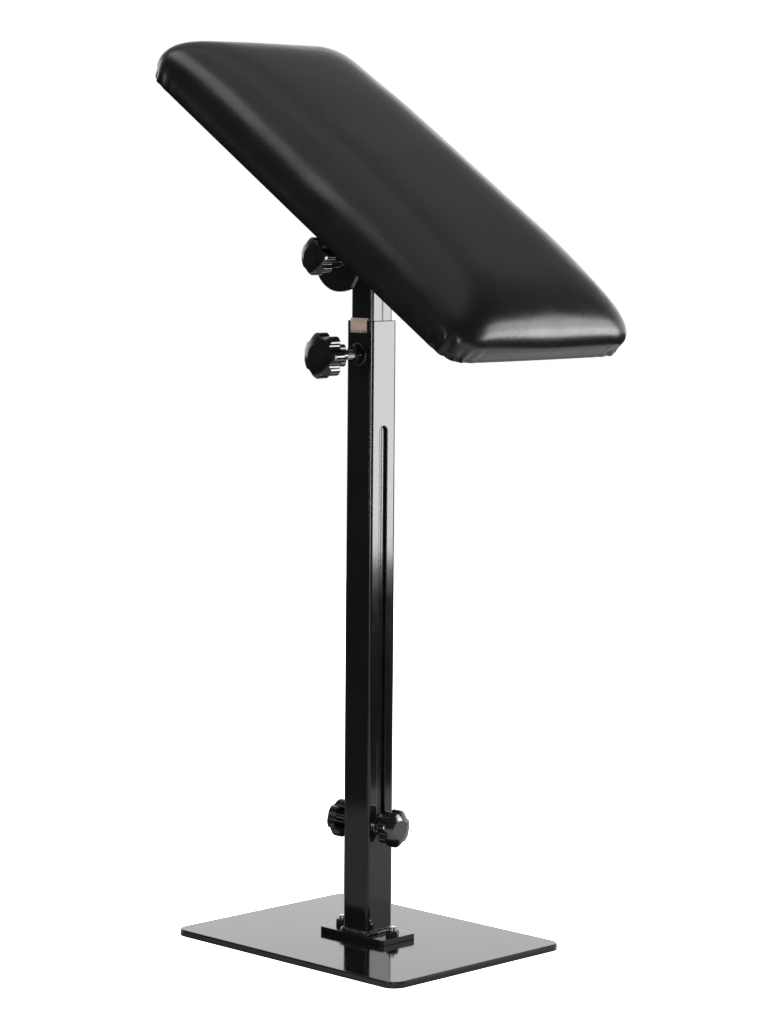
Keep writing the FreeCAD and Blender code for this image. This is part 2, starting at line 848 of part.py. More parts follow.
def washer():
    """A flat washer on Z from level 0."""
    ring = rod(washer_diameter / 2, 0, washer_thickness)
    return ring.cut(rod(stud_radius + washer_bore_gap, -overrun, washer_thickness + overrun))


def set_screw_place(reach):
    """The placement of a piece of the set screw, so far out from the mast's axis."""
    return toward(-AXIS_Y, Vector(0, -reach, screw_level))


def make_set_screw():
    """Threaded stud of the set knob, from the shim to inside the knob."""
    tip = mast_side / 2 + 2 * shim_gap + shim_thickness
    end = set_knob_start + stud_in_knob
    return placed(rod(stud_radius, 0, end - tip), set_screw_place(tip))


def make_set_knob():
    """Large star knob of the set screw."""
    knob = star_knob(
        set_knob_radius, set_knob_head, set_knob_hub, set_knob_hub_radius, stud_radius + running_gap, 0
    )
    return placed(knob, set_screw_place(set_knob_start))


def pivot_place(reach):
    """The placement of a piece on the pivot stud, so far out from the mast's axis."""
    return toward(-AXIS_Y, PIVOT - AXIS_Y * reach)


def height_place(side, reach):
    """The placement of a piece on the height stud, on the -X or the +X side."""
    return toward(AXIS_X * side, Vector(side * reach, 0, height_stud_level))


def make_all():
    """Every node of the stand, by name."""
    nodes = {
        "base_plate": make_base_plate(),
        "foot_flange": make_foot_flange(),
        "foot_bolts": make_foot_bolts(),
        "foot_nuts": make_foot_nuts(),
        "foot_weld": make_foot_weld(),
        "outer_tube": make_outer_tube(),
        "set_nut": make_set_nut(),
        "set_nut_weld": make_set_nut_weld(),
        "clamp_shim": make_clamp_shim(),
        "mast_tube": make_mast_tube(),
        "mast_cap": make_mast_cap(),
        "mast_disc": make_mast_disc(),
        "disc_weld": make_disc_weld(),
        "pivot_stud": make_pivot_stud(),
        "height_stud": make_height_stud(),
        "stud_spacer": make_stud_spacer(),
        "pad_bracket": make_pad_bracket(),
        "bracket_disc": make_bracket_disc(),
        "bracket_screws": make_bracket_screws(),
        "tee_nuts": make_tee_nuts(),
        "pad_board": make_pad_board(),
        "pad_foam": make_pad_foam(),
        "pad_cover": make_pad_cover(),
        "pad_back": make_pad_back(),
        "pad_staples": make_pad_staples(),
        "set_screw": make_set_screw(),
        "set_knob": make_set_knob(),
        "pivot_washer": placed(washer(), pivot_place(pivot_washer_start)),
    }
    pivot_knob = clamp_knob(pivot_knob_radius, pivot_knob_head, pivot_knob_hub)
    nodes["pivot_knob"] = placed(pivot_knob, pivot_place(pivot_knob_start))
    nodes["pivot_insert"] = placed(insert_bush(), pivot_place(pivot_knob_start))
    height_knob = clamp_knob(height_knob_radius, height_knob_head, height_knob_hub)
    for name, side in (("low", 1), ("high", -1)):
        nodes["height_washer_" + name] = placed(washer(), height_place(side, height_washer_start))
        nodes["height_knob_" + name] = placed(height_knob, height_place(side, height_knob_start))
        nodes["height_insert_" + name] = placed(insert_bush(), height_place(side, height_knob_start))
    return nodes


os.makedirs("parts", exist_ok=True)
for name, shape in make_all().items():
    shape.exportStep("parts/" + name + ".step")
    print(name, shape.isValid(), len(shape.Solids), round(shape.Volume / 1000, 2))
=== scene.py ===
"""Looks of an arm rest stand for tattoo clients.

A padded rest tilts on a toothed joint at the top of a square mast. The mast slides in a slotted
column on a flat steel base, and star knobs clamp each movement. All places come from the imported
frame, in metres, and the pad is modelled in its own frame about the pivot and then tilted.
"""
import json
import logging
import math
from collections.abc import Callable
from dataclasses import dataclass, field
from enum import Enum

import bmesh
import bpy
from mathutils import Matrix, Vector, noise


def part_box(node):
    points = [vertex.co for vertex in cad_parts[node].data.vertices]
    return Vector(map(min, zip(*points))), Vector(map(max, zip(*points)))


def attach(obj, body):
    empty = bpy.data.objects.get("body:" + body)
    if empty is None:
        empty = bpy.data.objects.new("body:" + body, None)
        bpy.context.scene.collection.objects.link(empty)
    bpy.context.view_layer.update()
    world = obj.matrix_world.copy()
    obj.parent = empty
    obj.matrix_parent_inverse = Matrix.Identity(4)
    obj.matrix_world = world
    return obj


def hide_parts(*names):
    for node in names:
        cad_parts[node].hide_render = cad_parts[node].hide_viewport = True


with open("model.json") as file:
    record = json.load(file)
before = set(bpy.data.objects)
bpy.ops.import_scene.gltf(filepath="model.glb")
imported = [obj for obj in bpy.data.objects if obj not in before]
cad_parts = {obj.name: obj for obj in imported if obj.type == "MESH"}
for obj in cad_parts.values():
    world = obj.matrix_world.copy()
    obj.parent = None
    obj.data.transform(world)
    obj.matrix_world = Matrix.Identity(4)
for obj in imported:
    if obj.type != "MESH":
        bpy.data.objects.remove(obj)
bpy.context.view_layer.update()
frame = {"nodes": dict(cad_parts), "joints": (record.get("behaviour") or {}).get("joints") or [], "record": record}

MM = 0.001
TURN = 2 * math.pi
LOG = logging.getLogger("arm_rest")

Colour = tuple[float, float, float]
Verts = list[bmesh.types.BMVert] | bmesh.types.BMVertSeq
Elements = list[bmesh.types.BMVert | bmesh.types.BMEdge | bmesh.types.BMFace]


class Relief(Enum):
    """The kinds of fine relief that break up the gloss of a surface."""

    PEEL = "the soft dimples of sprayed paint"
    GRAIN = "the pebbles of embossed leathercloth"
    MOULDED = "the fine matt of moulded plastic"
    DRAWN = "the streaks of drawn or rolled metal"
    CAST = "the lumps of a cast or welded surface"


class Slot(Enum):
    """The record's material slots."""

    PAINT = "black_paint"
    WELD = "weld_paint"
    ZINC = "zinc_steel"
    BLACKED = "black_steel"
    KNOB = "knob_plastic"
    CAP = "cap_plastic"
    BRASS = "insert_brass"
    SHIM = "shim_strip"
    LEATHER = "leatherette"
    VINYL = "back_vinyl"
    PLY = "plywood"
    FOAM = "foam"
    STAPLE = "staple_wire"


# Small helpers
def joint(name: str) -> dict:
    """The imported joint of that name.

    Args:
        name: the joint's name in the record.

    Returns:
        The joint as the record holds it.
    """
    return next(j for j in frame["joints"] if j["name"] == name)


def smooth_step(low: float, high: float, value: float) -> float:
    """A soft ramp from 0 at low to 1 at high.

    Args:
        low: where the ramp starts.
        high: where it ends, which may lie below low.
        value: the place on the ramp.

    Returns:
        The ramp's height, from 0 to 1.
    """
    share = min(max((value - low) / (high - low), 0.0), 1.0)
    return share * share * (3 - 2 * share)


def wander(point: Vector, size: float, seed: float = 0.0) -> float:
    """Soft noise in space, the same on every run.

    Args:
        point: the place, in metres.
        size: the size of one swell, in metres.
        seed: shifts the pattern, so that two uses differ.

    Returns:
        A value from about -1 to 1.
    """
    return noise.noise(point / size + Vector((seed, seed * 1.7, seed * 0.3)))


def close_mesh(bm: bmesh.types.BMesh, gap: float = 0.001 * MM) -> None:
    """Merges doubled vertices and points every face outwards.

    Args:
        bm: the mesh to close.
        gap: vertices nearer than this are one.
    """
    bmesh.ops.remove_doubles(bm, verts=bm.verts, dist=gap)
    bmesh.ops.recalc_face_normals(bm, faces=bm.faces)


def of_kind(results: Elements, kind: type) -> Elements:
    """The elements of one kind among a bmesh operator's results.

    Args:
        results: the operator's results.
        kind: the kind of element.

    Returns:
        The elements of that kind.
    """
    return [element for element in results if isinstance(element, kind)]


def shift(bm: bmesh.types.BMesh, verts: Verts, way: Vector) -> None:
    """Moves part of a mesh.

    Args:
        bm: the mesh.
        verts: the vertices that move.
        way: the way that they move.
    """
    bmesh.ops.translate(bm, vec=way, verts=verts)


def rotate(
    bm: bmesh.types.BMesh, verts: Verts, angle: float, axis: str | Vector,
    hub: Vector | None = None,
) -> None:
    """Turns part of a mesh.

    Args:
        bm: the mesh.
        verts: the vertices that turn.
        angle: the angle, in radians.
        axis: the axis, as a letter or a direction.
        hub: a point of the axis, or the origin.
    """
    matrix = Matrix.Rotation(angle, 3, axis)
    bmesh.ops.rotate(bm, cent=hub or Vector(), matrix=matrix, verts=verts)


def stand_along(bm: bmesh.types.BMesh, verts: Verts, axis: Vector, place: Vector) -> None:
    """Turns vertices that were modelled about +Z to another axis, and then moves them.

    Args:
        bm: the mesh.
        verts: the vertices.
        axis: the new axis.
        place: where the origin goes.
    """
    matrix = Vector((0, 0, 1)).rotation_difference(axis).to_matrix()
    bmesh.ops.rotate(bm, cent=Vector(), matrix=matrix, verts=verts)
    shift(bm, verts, place)


def cut(
    bm: bmesh.types.BMesh, place: Vector, way: Vector, clear: bool = False,
    near: float = 0.01 * MM,
) -> None:
    """Cuts a whole mesh along a plane.

    Args:
        bm: the mesh.
        place: a point of the plane.
        way: the plane's outward direction.
        clear: whether the part outside is taken away.
        near: how near the plane a vertex counts as lying on it.
    """
    geom = bm.verts[:] + bm.edges[:] + bm.faces[:]
    bmesh.ops.bisect_plane(
        bm, geom=geom, plane_co=place, plane_no=way, clear_outer=clear, dist=near,
    )


def draw_out(
    bm: bmesh.types.BMesh, end: bmesh.types.BMFace,
) -> tuple[list[bmesh.types.BMVert], bmesh.types.BMFace]:
    """Extrudes the end face of a wire, without moving it yet.

    Args:
        bm: the mesh.
        end: the wire's end face, which is taken away.

    Returns:
        The vertices of the new end face, and that face.
    """
    out = bmesh.ops.extrude_face_region(bm, geom=[end])["geom"]
    bmesh.ops.delete(bm, geom=[end], context="FACES_ONLY")
    return of_kind(out, bmesh.types.BMVert), of_kind(out, bmesh.types.BMFace)[0]


def make_object(bm: bmesh.types.BMesh, name: str) -> bpy.types.Object:
    """Turns a finished bmesh into an object at the origin, with smooth faces.

    Args:
        bm: the mesh, which is freed.
        name: the object's name.

    Returns:
        The new object.
    """
    mesh = bpy.data.meshes.new(name)
    bm.to_mesh(mesh)
    bm.free()
    mesh.polygons.foreach_set("use_smooth", [True] * len(mesh.polygons))
    piece = bpy.data.objects.new(name, mesh)
    bpy.context.scene.collection.objects.link(piece)
    return piece


def apply_modifiers(piece: bpy.types.Object) -> None:
    """Bakes the live modifiers of a piece into its mesh.

    Args:
        piece: the object, which keeps its name.
    """
    graph = bpy.context.evaluated_depsgraph_get()
    mesh = bpy.data.meshes.new_from_object(piece.evaluated_get(graph))
    piece.modifiers.clear()
    old = piece.data
    piece.data = mesh
    bpy.data.meshes.remove(old)


def islands(node: str) -> list[list[Vector]]:
    """The separate solids of a CAD node, read from a merged copy of its mesh.

    Args:
        node: the CAD node's name.

    Returns:
        For each solid, its vertices.
    """
    bm = bmesh.new()
    bm.from_mesh(frame["nodes"][node].data)
    bmesh.ops.remove_doubles(bm, verts=bm.verts, dist=0.001 * MM)
    found, seen = [], set()
    for start in bm.verts:
        if start in seen:
            continue
        seen.add(start)
        group = [start]
        for vertex in group:
            for edge in vertex.link_edges:
                other = edge.other_vert(vertex)
                if other not in seen:
                    seen.add(other)
                    group.append(other)
        found.append([v.co.copy() for v in group])
    bm.free()
    return found


def dress(
    piece: bpy.types.Object, body: str, material: bpy.types.Material,
) -> None:
    """Gives a new piece its body and its finish.

    Args:
        piece: the finished piece.
        body: the CAD body that it moves with.
        material: the finish.
    """
    piece.data.materials.clear()
    piece.data.materials.append(material)
    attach(piece, body)
    LOG.info("%s rides on %s, %d faces", piece.name, body, len(piece.data.polygons))


# Finishes
class Wiring:
    """A node tree, with short ways to add and wire its nodes."""

    def __init__(self, tree: bpy.types.NodeTree) -> None:
        """Takes over a node tree.

        Args:
            tree: the tree of a material or of the world.
        """
        self.tree = tree

    def add(self, kind: str, **values: object) -> bpy.types.Node:
        """Adds a node and sets its own properties.

        Args:
            kind: the node's type.
            **values: properties of the node.

        Returns:
            The new node.
        """
        node = self.tree.nodes.new(kind)
        for key, value in values.items():
            setattr(node, key, value)
        return node

    def feed(self, node: bpy.types.Node, **inputs: object) -> bpy.types.Node:
        """Sets or links a node's inputs by their names, with _ for a space.

        Args:
            node: the node.
            **inputs: a socket to link from, or a value to set.

        Returns:
            The same node.
        """
        for key, value in inputs.items():
            self.fill(node.inputs[key.replace("_", " ")], value)
        return node

    def fill(self, socket: bpy.types.NodeSocket, value: object) -> None:
        """Links a socket to another one, or sets it to a value.

        Args:
            socket: the input.
            value: a socket to link from, or a value to set.
        """
        if isinstance(value, bpy.types.NodeSocket):
            self.tree.links.new(value, socket)
        else:
            socket.default_value = value

    def ramp(
        self, value: bpy.types.NodeSocket, low: float, high: float,
        source: tuple[float, float] = (0.3, 0.7),
    ) -> bpy.types.NodeSocket:
        """Maps a pattern to a range of values.

        Args:
            value: the pattern.
            low: the result at the source's low end.
            high: the result at the source's high end.
            source: the part of the pattern that is used.

        Returns:
            The mapped value.
        """
        node = self.add("ShaderNodeMapRange", interpolation_type="SMOOTHSTEP")
        self.tree.links.new(value, node.inputs["Value"])
        names = ("From Min", "From Max", "To Min", "To Max")
        for name, number in zip(names, (*source, low, high)):
            node.inputs[name].default_value = number
        return node.outputs["Result"]

    def math(self, operation: str, first: object, second: object) -> bpy.types.NodeSocket:
        """One sum of two values.

        Args:
            operation: the sum's kind.
            first: the first value or socket.
            second: the second value or socket.

        Returns:
            The result.
        """
        node = self.add("ShaderNodeMath", operation=operation)
        for socket, value in zip(node.inputs, (first, second)):
            self.fill(socket, value)
        return node.outputs[0]

    def along(self, vector: bpy.types.NodeSocket, way: Vector) -> bpy.types.NodeSocket:
        """How far a vector points along a direction.

        Args:
            vector: the vector.
            way: the direction.

        Returns:
            Their dot product.
        """
        node = self.add("ShaderNodeVectorMath", operation="DOT_PRODUCT")
        self.tree.links.new(vector, node.inputs[0])
        node.inputs[1].default_value = way
        return node.outputs["Value"]


class Graph(Wiring):
    """The node tree of one material."""

    def __init__(self, name: str) -> None:
        """Starts a material with one Principled shader.

        Args:
            name: the material's name.
        """
        self.material = bpy.data.materials.new(name)
        self.material.use_nodes = True
        super().__init__(self.material.node_tree)
        self.shader = self.tree.nodes["Principled BSDF"]
        self.place = self.add("ShaderNodeTexCoord").outputs["Object"]

    def stretched(self, scale: tuple[float, float, float]) -> bpy.types.NodeSocket:
        """Object coordinates, stretched.

        Args:
            scale: how often a pattern repeats along each axis, where 1 is as before.

        Returns:
            The mapped coordinates.
        """
        mapping = self.feed(self.add("ShaderNodeMapping"), Vector=self.place, Scale=scale)
        return mapping.outputs["Vector"]

    def clouds(
        self, size: float, detail: float, roughness: float = 0.5,
        place: bpy.types.NodeSocket | None = None,
    ) -> bpy.types.NodeSocket:
        """Noise with swells of the given size.

        Args:
            size: the size of a swell, in metres.
            detail: how many finer layers it has.
            roughness: how strong the finer layers are.
            place: the coordinates, or none for the object's own.

        Returns:
            The noise, from 0 to 1.
        """
        texture = self.feed(
            self.add("ShaderNodeTexNoise"), Vector=place or self.place, Scale=1 / size,
            Detail=detail, Roughness=roughness,
        )
        return texture.outputs["Fac"]

    def blend(
        self, share: bpy.types.NodeSocket, first: Colour | bpy.types.NodeSocket,
        second: Colour | bpy.types.NodeSocket,
    ) -> bpy.types.NodeSocket:
        """Mixes two colours by a pattern.

        Args:
            share: how much of the second colour shows.
            first: the first colour, as a value or a socket.
            second: the second colour, as a value or a socket.

        Returns:
            The mixed colour.
        """
        node = self.add("ShaderNodeMix", data_type="RGBA")
        sockets = {s.identifier: s for s in node.inputs}
        self.tree.links.new(share, sockets["Factor_Float"])
        for key, colour in (("A_Color", first), ("B_Color", second)):
            self.fill(sockets[key], (*colour, 1) if isinstance(colour, tuple) else colour)
        return next(s for s in node.outputs if s.identifier == "Result_Color")

    def bump(
        self, height: bpy.types.NodeSocket, depth: float,
        normal: bpy.types.NodeSocket | None = None,
    ) -> bpy.types.NodeSocket:
        """Raises the surface by a pattern, for the light only.

        Args:
            height: the pattern, from 0 to 1.
            depth: how deep it is, in metres.
            normal: the normal that it adds to, or none for the mesh's own.

        Returns:
            The new normal.
        """
        node = self.feed(self.add("ShaderNodeBump"), Height=height, Distance=depth, Strength=1.0)
        if normal is not None:
            self.feed(node, Normal=normal)
        return node.outputs["Normal"]


@dataclass(frozen=True)
class Finish:
    """A surface finish: its colour and gloss, and the marks that a close look shows.

    Sizes are in metres. The tone and the gloss wander by the given shares, in swells of mark_size.
    An edge_round above 0 softens the light on sharp edges over that radius.
    """

    name: str
    colour: Colour
    roughness: float
    metallic: float = 0.0
    specular: float = 0.5
    relief: Relief = Relief.PEEL
    relief_size: float = 2.5 * MM
    relief_depth: float = 0.01 * MM
    mark_size: float = 30 * MM
    tone_share: float = 0.2
    gloss_share: float = 0.15
    edge_round: float = 0.0

    def pattern(self, graph: Graph) -> bpy.types.NodeSocket:
        """The relief's height.

        Args:
            graph: the material's nodes.

        Returns:
            The height, from 0 to 1.
        """
        if self.relief is Relief.GRAIN:
            pebble_size, fine_size, fine_share = self.relief_size, self.relief_size / 3, 0.35
            cells = graph.add("ShaderNodeTexVoronoi", feature="SMOOTH_F1")
            graph.feed(
                cells, Vector=graph.place, Scale=1 / pebble_size, Smoothness=0.35, Randomness=0.9,
            )
            pebbles = graph.ramp(cells.outputs["Distance"], 1.0, 0.0, (0.1, 0.75))
            fine = graph.math("MULTIPLY", graph.clouds(fine_size, detail=4.0), fine_share)
            return graph.math("ADD", pebbles, fine)
        if self.relief is Relief.DRAWN:
            streaks = graph.stretched((1.0, 1.0, 0.06))
            return graph.clouds(self.relief_size, detail=2.0, place=streaks)
        if self.relief is Relief.MOULDED:
            return graph.clouds(self.relief_size, detail=2.0)
        if self.relief is Relief.CAST:
            return graph.clouds(self.relief_size, detail=4.0, roughness=0.6)
        return graph.clouds(self.relief_size, detail=1.0)

    def tone(self, graph: Graph) -> bpy.types.NodeSocket:
        """The colour, darker and lighter in soft patches.

        Args:
            graph: the material's nodes.

        Returns:
            The colour.
        """
        dark = tuple(c * (1 - self.tone_share) for c in self.colour)
        light = tuple(min(c * (1 + self.tone_share), 1.0) for c in self.colour)
        patches = graph.ramp(graph.clouds(self.mark_size, detail=5.0), 0, 1)
        return graph.blend(patches, dark, light)

    def build(self) -> bpy.types.Material:
        """Makes the material.

        Returns:
            The finished material.
        """
        graph = Graph(self.name)
        shader = graph.shader
        low = self.roughness * (1 - self.gloss_share)
        high = min(self.roughness * (1 + self.gloss_share), 1.0)
        smears = graph.clouds(self.mark_size * 0.6, detail=6.0, roughness=0.6)
        gloss = graph.ramp(smears, low, high)
        graph.feed(shader, Base_Color=self.tone(graph), Roughness=gloss, Metallic=self.metallic)
        shader.inputs["Specular IOR Level"].default_value = self.specular
        normal = None
        if self.edge_round > 0:
            edge = graph.feed(graph.add("ShaderNodeBevel", samples=6), Radius=self.edge_round)
            normal = edge.outputs["Normal"]
        graph.feed(shader, Normal=graph.bump(self.pattern(graph), self.relief_depth, normal))
        return graph.material


@dataclass(frozen=True)
class StripFinish(Finish):
    """The beige strip, with rusty dirt along its lower edge."""

    dirt: Colour = (0.16, 0.07, 0.045)
    dirt_level: float = 520 * MM
    dirt_height: float = 4 * MM
    dirt_size: float = 3 * MM

    def tone(self, graph: Graph) -> bpy.types.NodeSocket:
        """The strip's colour with its dirt.

        Args:
            graph: the material's nodes.

        Returns:
            The colour.
        """
        plain = super().tone(graph)
        parts = graph.feed(graph.add("ShaderNodeSeparateXYZ"), Vector=graph.place)
        band = (self.dirt_level, self.dirt_level + self.dirt_height)
        near_edge = graph.ramp(parts.outputs["Z"], 1.0, 0.0, band)
        specks = graph.clouds(self.dirt_size, detail=5.0)
        patches = graph.ramp(specks, 0.25, 1.0, (0.35, 0.65))
        return graph.blend(graph.math("MULTIPLY", near_edge, patches), plain, self.dirt)


@dataclass(frozen=True)
class PlyFinish(Finish):
    """Plywood, with the long grain of its face."""

    late_wood: Colour = (0.34, 0.21, 0.11)
    grain_size: float = 5 * MM

    def tone(self, graph: Graph) -> bpy.types.NodeSocket:
        """The wood's colour with its grain.

        Args:
            graph: the material's nodes.

        Returns:
            The colour.
        """
        along = graph.stretched((0.08, 1.0, 1.0))
        streaks = graph.clouds(self.grain_size, detail=6.0, roughness=0.65, place=along)
        return graph.blend(graph.ramp(streaks, 0, 1), self.colour, self.late_wood)


@dataclass(frozen=True)
class Finishes:
    """Every finish of the stand, by the record's slots."""

    by_slot: dict[Slot, Finish] = field(default_factory=lambda: {
        Slot.PAINT: Finish(
            "gloss_black_paint", (0.0060, 0.0060, 0.0064), 0.095, relief_size=3.5 * MM,
            relief_depth=0.004 * MM, edge_round=1.2 * MM, tone_share=0.15, gloss_share=0.2,
        ),
        Slot.WELD: Finish(
            "painted_weld", (0.012, 0.012, 0.012), 0.2, relief=Relief.CAST, relief_size=1.6 * MM,
            relief_depth=0.12 * MM, mark_size=6 * MM, tone_share=0.4,
        ),
        Slot.ZINC: Finish(
            "bright_zinc", (0.62, 0.62, 0.60), 0.24, metallic=1.0, relief=Relief.DRAWN,
            relief_size=0.5 * MM, relief_depth=0.01 * MM, mark_size=5 * MM, gloss_share=0.3,
            edge_round=0.2 * MM,
        ),
        Slot.BLACKED: Finish(
            "black_oxide", (0.03, 0.03, 0.032), 0.28, metallic=0.6, relief=Relief.MOULDED,
            relief_size=1.0 * MM, relief_depth=0.02 * MM, mark_size=6 * MM, edge_round=0.3 * MM,
        ),
        Slot.KNOB: Finish(
            "satin_black_plastic", (0.0050, 0.0050, 0.0044), 0.15, specular=1.0,
            relief=Relief.MOULDED, relief_size=0.9 * MM, relief_depth=0.003 * MM,
            mark_size=12 * MM, edge_round=0.5 * MM,
        ),
        Slot.CAP: Finish(
            "gloss_black_plastic", (0.008, 0.008, 0.009), 0.18, relief=Relief.MOULDED,
            relief_size=2.0 * MM, relief_depth=0.01 * MM, mark_size=10 * MM, edge_round=0.4 * MM,
        ),
        Slot.BRASS: Finish(
            "turned_brass", (0.55, 0.42, 0.20), 0.3, metallic=1.0, relief=Relief.DRAWN,
            relief_size=0.4 * MM, mark_size=4 * MM,
        ),
        Slot.SHIM: StripFinish(
            "beige_strip", (0.47, 0.36, 0.29), 0.5, relief=Relief.MOULDED, relief_size=1.5 * MM,
            relief_depth=0.03 * MM, mark_size=8 * MM, tone_share=0.12,
        ),
        Slot.LEATHER: Finish(
            "black_leatherette", (0.0052, 0.0052, 0.0055), 0.27, relief=Relief.GRAIN,
            relief_size=0.85 * MM, relief_depth=0.014 * MM, mark_size=45 * MM, tone_share=0.12,
            gloss_share=0.08,
        ),
        Slot.VINYL: Finish(
            "slate_vinyl", (0.06, 0.07, 0.085), 0.42, relief=Relief.GRAIN, relief_size=0.7 * MM,
            relief_depth=0.012 * MM, mark_size=50 * MM, tone_share=0.1, gloss_share=0.1,
        ),
        Slot.PLY: PlyFinish(
            "raw_plywood", (0.55, 0.40, 0.24), 0.65, relief=Relief.DRAWN, relief_depth=0.05 * MM,
        ),
        Slot.FOAM: Finish(
            "open_foam", (0.75, 0.72, 0.62), 0.9, relief=Relief.CAST, relief_depth=0.3 * MM,
        ),
        Slot.STAPLE: Finish(
            "bright_staple", (0.70, 0.70, 0.70), 0.25, metallic=1.0, relief=Relief.DRAWN,
            relief_size=0.4 * MM, mark_size=4 * MM,
        ),
    })

    def build(self) -> dict[Slot, bpy.types.Material]:
        """Makes every material.

        Returns:
            The materials by their slots.
        """
        return {slot: finish.build() for slot, finish in self.by_slot.items()}


# The pad
@dataclass
class PadPlace:
    """The pad's own frame: origin on the pivot, +X to the low end, +Z out of the cushion."""

    tilt: float = 33.0

    def __post_init__(self) -> None:
        """Works out the matrix from the pad's frame to the stand's."""
        pivot = Matrix.Translation(Vector(joint("pad_tilt")["pos_m"]))
        self.matrix = pivot @ Matrix.Rotation(math.radians(self.tilt), 4, "Y")
        self.inverse = self.matrix.inverted()

    def box(self, node: str) -> tuple[Vector, Vector]:
        """The lowest and highest corner of a CAD node, in the pad's frame.

        Args:
            node: the CAD node's name.

        Returns:
            The two corners.
        """
        points = [self.inverse @ v.co for v in frame["nodes"][node].data.vertices]
        low = Vector(min(p[i] for p in points) for i in range(3))
        high = Vector(max(p[i] for p in points) for i in range(3))
        return low, high

    def settle(self, piece: bpy.types.Object) -> None:
        """Tilts a piece that was modelled in the pad's frame.

        Args:
            piece: the piece, whose mesh is moved.
        """
        piece.data.transform(self.matrix)


@dataclass
class PadLayer:
    """A layer of the pad with rounded corners, read from its CAD node in the pad's frame."""

    place: PadPlace
    node: str
    corner_radius: float

    def __post_init__(self) -> None:
        """Reads the layer's box from the frame."""
        self.low, self.high = self.place.box(self.node)
        self.size = self.high - self.low
        self.centre = (self.low + self.high) / 2

    def past_hub(self, point: Vector) -> tuple[float, float]:
        """How far a point lies past the centre of its nearest rounded corner.

        Args:
            point: a point of the layer, in the pad's frame.

        Returns:
            The distances along the pad and across it.
        """
        u = abs(point.x - self.centre.x) - (self.size.x / 2 - self.corner_radius)
        v = abs(point.y - self.centre.y) - (self.size.y / 2 - self.corner_radius)
        return u, v


